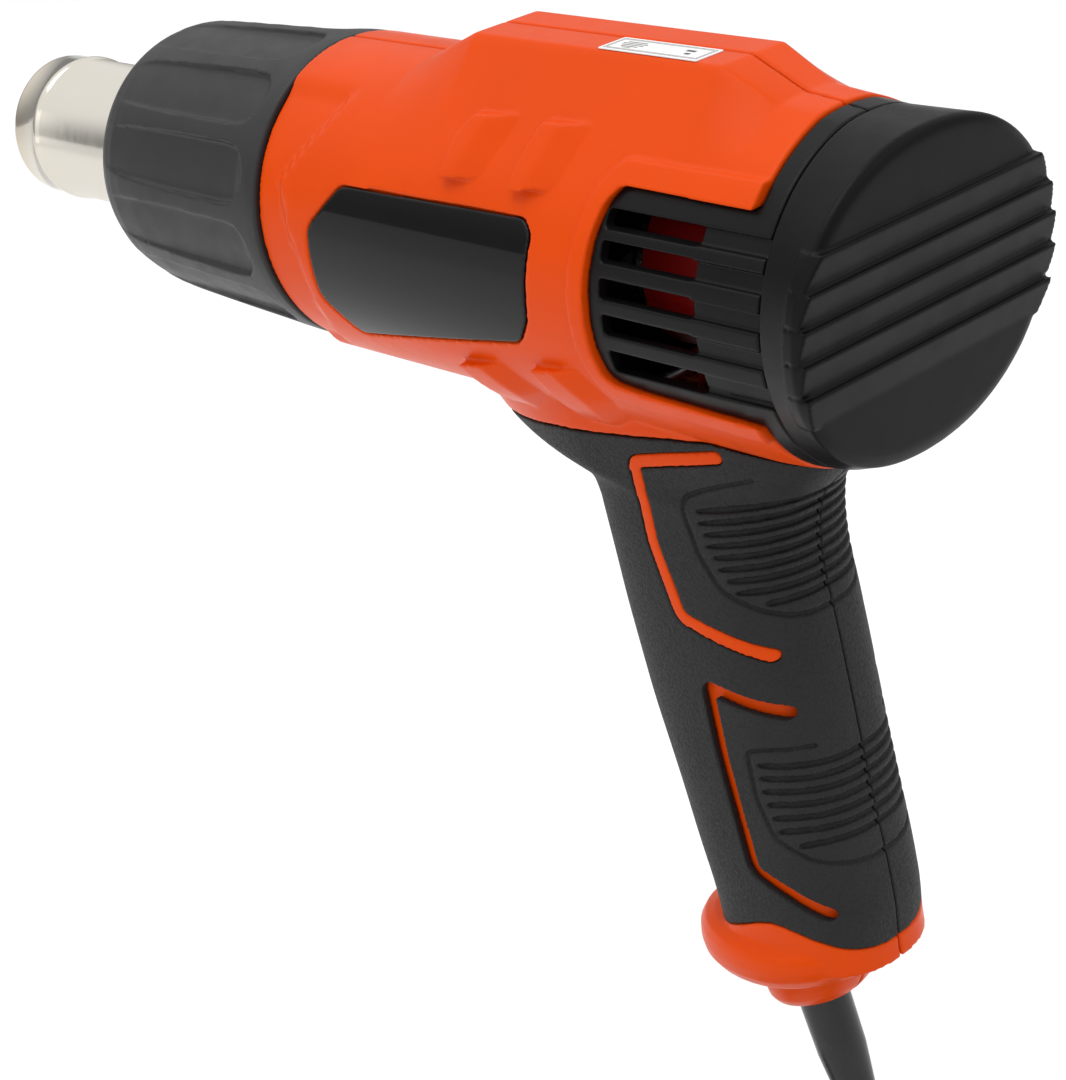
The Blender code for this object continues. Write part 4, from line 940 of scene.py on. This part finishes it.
# ---------------------------------------------------------------- heat guard
G0 = BODY_END + GAP
outer = [(0.0, 34.6), (0.5, 35.1), (3.0, 35.2), (10, 34.95), (18.0, 34.6), (30, 34.15), (42, 33.6), (50.0, 33.2), (56, 32.7),
         (60, 32.1), (63.0, 31.3), (65.4, 30.2), (67.4, 28.7), (68.8, 26.8), (69.6, 24.6), (70.0, 22.4), (70.1, 20.8)]
prof = [(20.3, 69.9)] + [(20.8, 70.1)] + [(r, hh_) for hh_, r in outer[::-1][1:]] + \
    [(32.8, 0.0), (32.0, 20.0), (30.6, 50.0), (29.0, 60.0), (25.5, 66.0), (20.3, 67.6)]
gd = turned("guard", prof, (G0, 0, 0), steps=240)
for k in range(12):
    a = math.radians(19 + 30 * k)
    ca, sa = math.cos(a), math.sin(a)
    # flute: a shallow hollow with a pointed rear end, running out towards the front
    rings = []
    for x, depth, hw in ((166.6, -0.3, 0.4), (168.2, 1.0, 3.6), (171.0, 1.65, 6.0), (176.0, 1.7, 6.4), (196.0, 1.4, 6.3),
                         (214.0, 0.7, 5.9), (222.0, 0.25, 5.2), (227.0, -0.3, 3.8)):
        r_s = lerp(x - G0, [p[0] for p in outer], [p[1] for p in outer])
        sec = []
        for t in np.linspace(-1, 1, 13):
            y = hw * t
            u_ = r_s - depth + 0.2 * depth * abs(t) ** 5 if depth > 0 else r_s - depth
            u_ = math.sqrt(max(1.0, u_ * u_ - y * y))
            sec.append((x, y, u_))
        sec += [(x, hw * 1.5, r_s + 6), (x, -hw * 1.5, r_s + 6)]
        rings.append([(x_, u_ * ca - y_ * sa, u_ * sa + y_ * ca) for x_, y_, u_ in sec])
    boole(gd, loft("flute", rings), 'DIFFERENCE')
soften(gd, 0.45, 2)
finish_piece(gd, "guard_shell", M["guard"], "body", ("heat_guard",))

# ---------------------------------------------------------------- nozzle
N0 = 116.0
L = TIP - N0
NW = 1.0
prof = [(NOZZLE_R - NW, L - 0.45), (NOZZLE_R - 0.72, L - 0.12), (NOZZLE_R - 0.5, L), (NOZZLE_R - 0.22, L - 0.1),
        (NOZZLE_R - 0.02, L - 0.45), (NOZZLE_R, L - 1.0)]
for k in range(9):
    t = k / 8
    prof.append((NOZZLE_R + 0.62 * math.sin(math.pi * t), L - 8.4 - 3.2 * t))
prof += [(NOZZLE_R, 3.4), (NOZZLE_R + 0.4, 2.5), (24.0, 2.2), (24.0, 0.0), (NOZZLE_R - NW, 0.0)]
noz = turned("nozzle", prof, (N0, 0, 0), steps=256)
finish_piece(noz, "nozzle_shell", M["steel"], "body", ("nozzle_tube",), sharp=50)

# ---------------------------------------------------------------- label: a blank sticker with a plain frame and bars
lb = prism("lb", rounded([(46.4, 1.0), (73.2, 1.0), (73.2, 8.9), (46.4, 8.9)], 0.5), 0, 1)
for v in lb.data.vertices:
    v.co = Vector((v.co.x, v.co.z, HUMP_TOP + 0.04 + 0.2 * v.co.y))
lb.data.flip_normals()
finish_piece(lb, "label_plate", M["label"], "body", ("top_label",), sharp=30)
bars = []
bm = bmesh.new()
for x0, x1, y0, y1 in ((47.2, 72.4, 1.7, 1.84), (47.2, 72.4, 8.06, 8.2), (47.2, 47.34, 1.84, 8.06), (72.26, 72.4, 1.84, 8.06),
                       (47.7, 71.9, 2.2, 2.3), (47.7, 71.9, 7.6, 7.7), (47.7, 47.8, 2.3, 7.6), (71.8, 71.9, 2.3, 7.6),
                       (64.6, 69.8, 3.2, 3.5), (63.8, 70.4, 4.1, 4.4), (64.2, 70.0, 5.0, 5.3), (65.0, 69.4, 5.9, 6.2), (66.2, 68.6, 6.7, 6.9),
                       (51.0, 53.4, 3.6, 4.5), (51.0, 52.4, 5.4, 6.3)):
    r_ = bmesh.ops.create_cube(bm, size=1.0)
    for v in r_["verts"]:
        v.co = Vector(((x0 + x1) / 2 + v.co.x * (x1 - x0), (y0 + y1) / 2 + v.co.y * (y1 - y0), HUMP_TOP + 0.255 + v.co.z * 0.04))
me = bpy.data.meshes.new("bars")
bm.to_mesh(me)
bm.free()
finish_piece(new_ob("bars", me), "label_bars", M["ink"], "body", (), sharp=30)

# ---------------------------------------------------------------- screws with a cross recess
for i, (x, z, seat, far) in enumerate(SCREWS):
    y0 = seat - 0.3
    tip = abs(seat) + 1.6
    Ls = tip - y0
    sc = turned("screw", [(0, Ls + 1.95), (0.9, Ls + 1.93), (1.7, Ls + 1.75), (2.25, Ls + 1.4), (2.6, Ls + 0.9), (2.6, Ls), (1.4, Ls),
                          (1.4, 1.2), (0.4, 0), (0, 0)], (x, tip, z), (0, -1, 0), 48, False)
    for a in (0.4, 0.4 + math.pi / 2):
        c = block("cross", (x - 1.5, y0 - 2.2, z - 0.28), (x + 1.5, y0 - 0.9, z + 0.28), Matrix.Rotation(a, 3, 'Y'), (x, y0, z))
        boole(sc, c, 'DIFFERENCE')
    finish_piece(sc, f"screw_{i + 1}", M["zinc"], "body", (f"housing_screw_{i + 1}",), sharp=30)

# ---------------------------------------------------------------- switch knob
fx = Vector((FRONT_DIR.z, 0, -FRONT_DIR.x))
knob_c = SW - FRONT_DIR * 5.0


def sw_block(name, u0, u1, y, w0, w1):
    c = knob_c + fx * ((u0 + u1) / 2) + FRONT_DIR * ((w0 + w1) / 2)
    return block(name, (c.x - (u1 - u0) / 2, -y, c.z - (w1 - w0) / 2), (c.x + (u1 - u0) / 2, y, c.z + (w1 - w0) / 2), ROT_SW)


kb = sw_block("knob", 3.1, 5.9, 5.0, -8.2, 8.2)
boole(kb, sw_block("stem", -5.5, 4.5, 4.6, -7.4, 7.4), 'UNION')
for k in range(5):
    boole(kb, sw_block("kg", 5.2, 8.0, 9.0, -6.4 + 3.0 * k, -5.3 + 3.0 * k), 'DIFFERENCE')
soften(kb, 0.26, 6)
finish_piece(kb, "switch_slider", M["black"], "switch", ("switch_knob",))

# ---------------------------------------------------------------- boot, plug, tie
bp = [(0, BOOT_LEN), (3.95, BOOT_LEN), (4.5, BOOT_LEN - 0.15), (4.7, BOOT_LEN - 0.5)]
for k in range(5):
    s0 = BOOT_LEN - 2.6 - k * 3.4
    ro = lerp(s0, [20.0, 30.0, BOOT_LEN], [5.95, 5.75, 4.75])
    bp += [(ro, s0 + 0.35), (ro, s0 - 1.15), (ro - 0.75, s0 - 1.5), (ro - 0.75, s0 - 2.6), ]
bp += [(5.75, 33.5), (5.8, 30.0), (5.95, 22.0), (5.95, 3.4), (8.2, 3.0), (8.2, 0.0), (0, 0)]
bt = turned("boot", bp, tuple(BOOT_TOP), tuple(BOOT_DIR), 72, False)
boot = finish_piece(bt, "cord_boot", M["pvc"], "body", ("strain_relief",), sharp=40)

side_dir = Vector((-PLUG_DIR.y, PLUG_DIR.x, 0))
rings = []
tab = ((0, 4.2, 4.2), (0.8, 4.7, 4.7), (6, 5.0, 4.9), (11, 5.4, 5.2), (14, 6.2, 5.7), (18, 8.2, 6.6), (22, 11.2, 7.6), (27, 15.0, 8.8),
       (32, 17.2, 9.6), (38, 18.2, 10.0), (46, 18.4, 10.1), (54, 18.3, 10.1), (56.6, 17.9, 9.8), (57.7, 17.0, 9.0), (58, 16.0, 8.2))
for sdist, hw, hh_ in tab:
    r = []
    for i in range(64):
        p = 2 * math.pi * (i + 0.5) / 64
        c, sn = math.cos(p), math.sin(p)
        e = 2 / 2.6
        q = PLUG_AT + PLUG_DIR * sdist + side_dir * (hw * math.copysign(abs(c) ** e, c))
        r.append((q.x, q.y, q.z + hh_ * math.copysign(abs(sn) ** e, sn)))
    rings.append(r)
pl = loft("plug", rings)
for k in range(4):
    q = PLUG_AT + PLUG_DIR * (3.2 + 2.6 * k)
    boole(pl, turned("pg", [(8, 1.0), (8, 0.0), (4.5, 0.0), (4.5, 1.0)], tuple(q), tuple(PLUG_DIR), 48), 'DIFFERENCE')
for k in range(5):
    q = PLUG_AT + PLUG_DIR * (33 + 3.4 * k)
    for sgn in (1, -1):
        c = q + Vector((0, 0, sgn * 10.6))
        gb = block("pgb", (c.x - 0.6, c.y - 9, c.z - 1.3), (c.x + 0.6, c.y + 9, c.z + 1.3),
                   Matrix.Rotation(math.atan2(PLUG_DIR.y, PLUG_DIR.x), 3, 'Z'))
        boole(pl, gb, 'DIFFERENCE')
soften(pl, 0.42, 4)
plug = finish_piece(pl, "plug_shell", M["pvc"], "body", ("plug_body",))
for k, o in enumerate((-9.5, 9.5)):
    base = PLUG_AT + PLUG_DIR * (58 + GAP) + side_dir * o
    pn = turned("pin", [(0, 19.0), (0.9, 18.9), (1.7, 18.4), (2.2, 17.5), (2.4, 16.4), (2.4, 0.4), (2.2, 0.0), (0, 0)], tuple(base),
                tuple(PLUG_DIR), 40, False)
    finish_piece(pn, f"pin_{k + 1}", M["zinc"], "body", (f"plug_pin_{k + 1}",), sharp=40)
tx = COIL_X + (R_OUT + R_IN) / 2
tie = block("tie", (tx - 12.6, COIL_Y - 2.6, FLOOR_Z + 0.1), (tx + 12.6, COIL_Y + 2.6, COIL_B + COIL_H + 1.1))
boole(tie, block("tie_in", (tx - 11.9, COIL_Y - 10, FLOOR_Z + 0.8), (tx + 11.9, COIL_Y + 10, COIL_B + COIL_H + 0.4)), 'DIFFERENCE')
for k in range(6):
    boole(tie, block("tk", (tx + 12.45, COIL_Y - 1.9, COIL_B + 3 + 1.6 * k), (tx + 13.2, COIL_Y + 1.9, COIL_B + 3.7 + 1.6 * k)), 'DIFFERENCE')
bv = tie.modifiers.new("bv", 'BEVEL')
bv.width = 0.15
bv.segments = 2
apply_mods(tie)
tie = finish_piece(tie, "tie_band", M["tie"], "body", ("cord_tie",), sharp=30)

# ---------------------------------------------------------------- floor, light
fl = bpy.data.meshes.new("floor")
bmf = bmesh.new()
zf = m((0, 0, FLOOR_Z)).z - 0.0002
vs = [bmf.verts.new((x, y, zf)) for x, y in ((-60, -60), (60, -60), (60, 60), (-60, 60))]
bmf.faces.new(vs)
bmf.to_mesh(fl)
bmf.free()
floor = new_ob("floor", fl)
fm = bpy.data.materials.new("floor_white")
fm.use_nodes = True
fb = fm.node_tree.nodes["Principled BSDF"]
fb.inputs["Base Color"].default_value = (0.92, 0.92, 0.92, 1)
fb.inputs["Roughness"].default_value = 0.9
fb.inputs["Specular IOR Level"].default_value = 0.1
floor.data.materials.append(fm)

world = bpy.data.worlds.new("studio")
world.use_nodes = True
world.node_tree.nodes["Background"].inputs["Color"].default_value = (1.0, 1.0, 1.0, 1)
wn = world.node_tree
wtc = wn.nodes.new("ShaderNodeTexCoord")
wsp = wn.nodes.new("ShaderNodeSeparateXYZ")
wn.links.new(wtc.outputs["Generated"], wsp.inputs["Vector"])
wmr = wn.nodes.new("ShaderNodeMapRange")
wmr.interpolation_type = 'SMOOTHSTEP'
for k, v in zip(("From Min", "From Max", "To Min", "To Max"), (0.06, 0.62, 0.36, 1.14)):
    wmr.inputs[k].default_value = v
wn.links.new(wsp.outputs["Z"], wmr.inputs["Value"])
wn.links.new(wmr.outputs["Result"], wn.nodes["Background"].inputs["Strength"])
bpy.context.scene.world = world
bpy.context.scene.view_settings.view_transform = 'Standard'
bpy.context.scene.view_settings.look = 'None'


def softbox(name, at, target, size, power, color=(1, 1, 1)):
    ld = bpy.data.lights.new(name, 'AREA')
    ld.shape = 'RECTANGLE'
    ld.size, ld.size_y = size
    ld.energy = power
    ld.color = color
    lo = bpy.data.objects.new(name, ld)
    bpy.context.scene.collection.objects.link(lo)
    lo.location = at
    lo.rotation_mode = 'QUATERNION'
    lo.rotation_quaternion = (Vector(target) - Vector(at)).to_track_quat('-Z', 'Y')
    return lo


softbox("key_top", (0.1, 0.25, 1.3), (0.05, 0, 0.05), (1.0, 0.8), 6)
softbox("side_left", (0.35, 1.2, 0.35), (0.05, 0, 0.0), (0.9, 0.9), 1.6)
softbox("rear_fill", (-1.0, -0.5, 0.55), (0.0, 0, 0.05), (0.7, 0.9), 1.0)
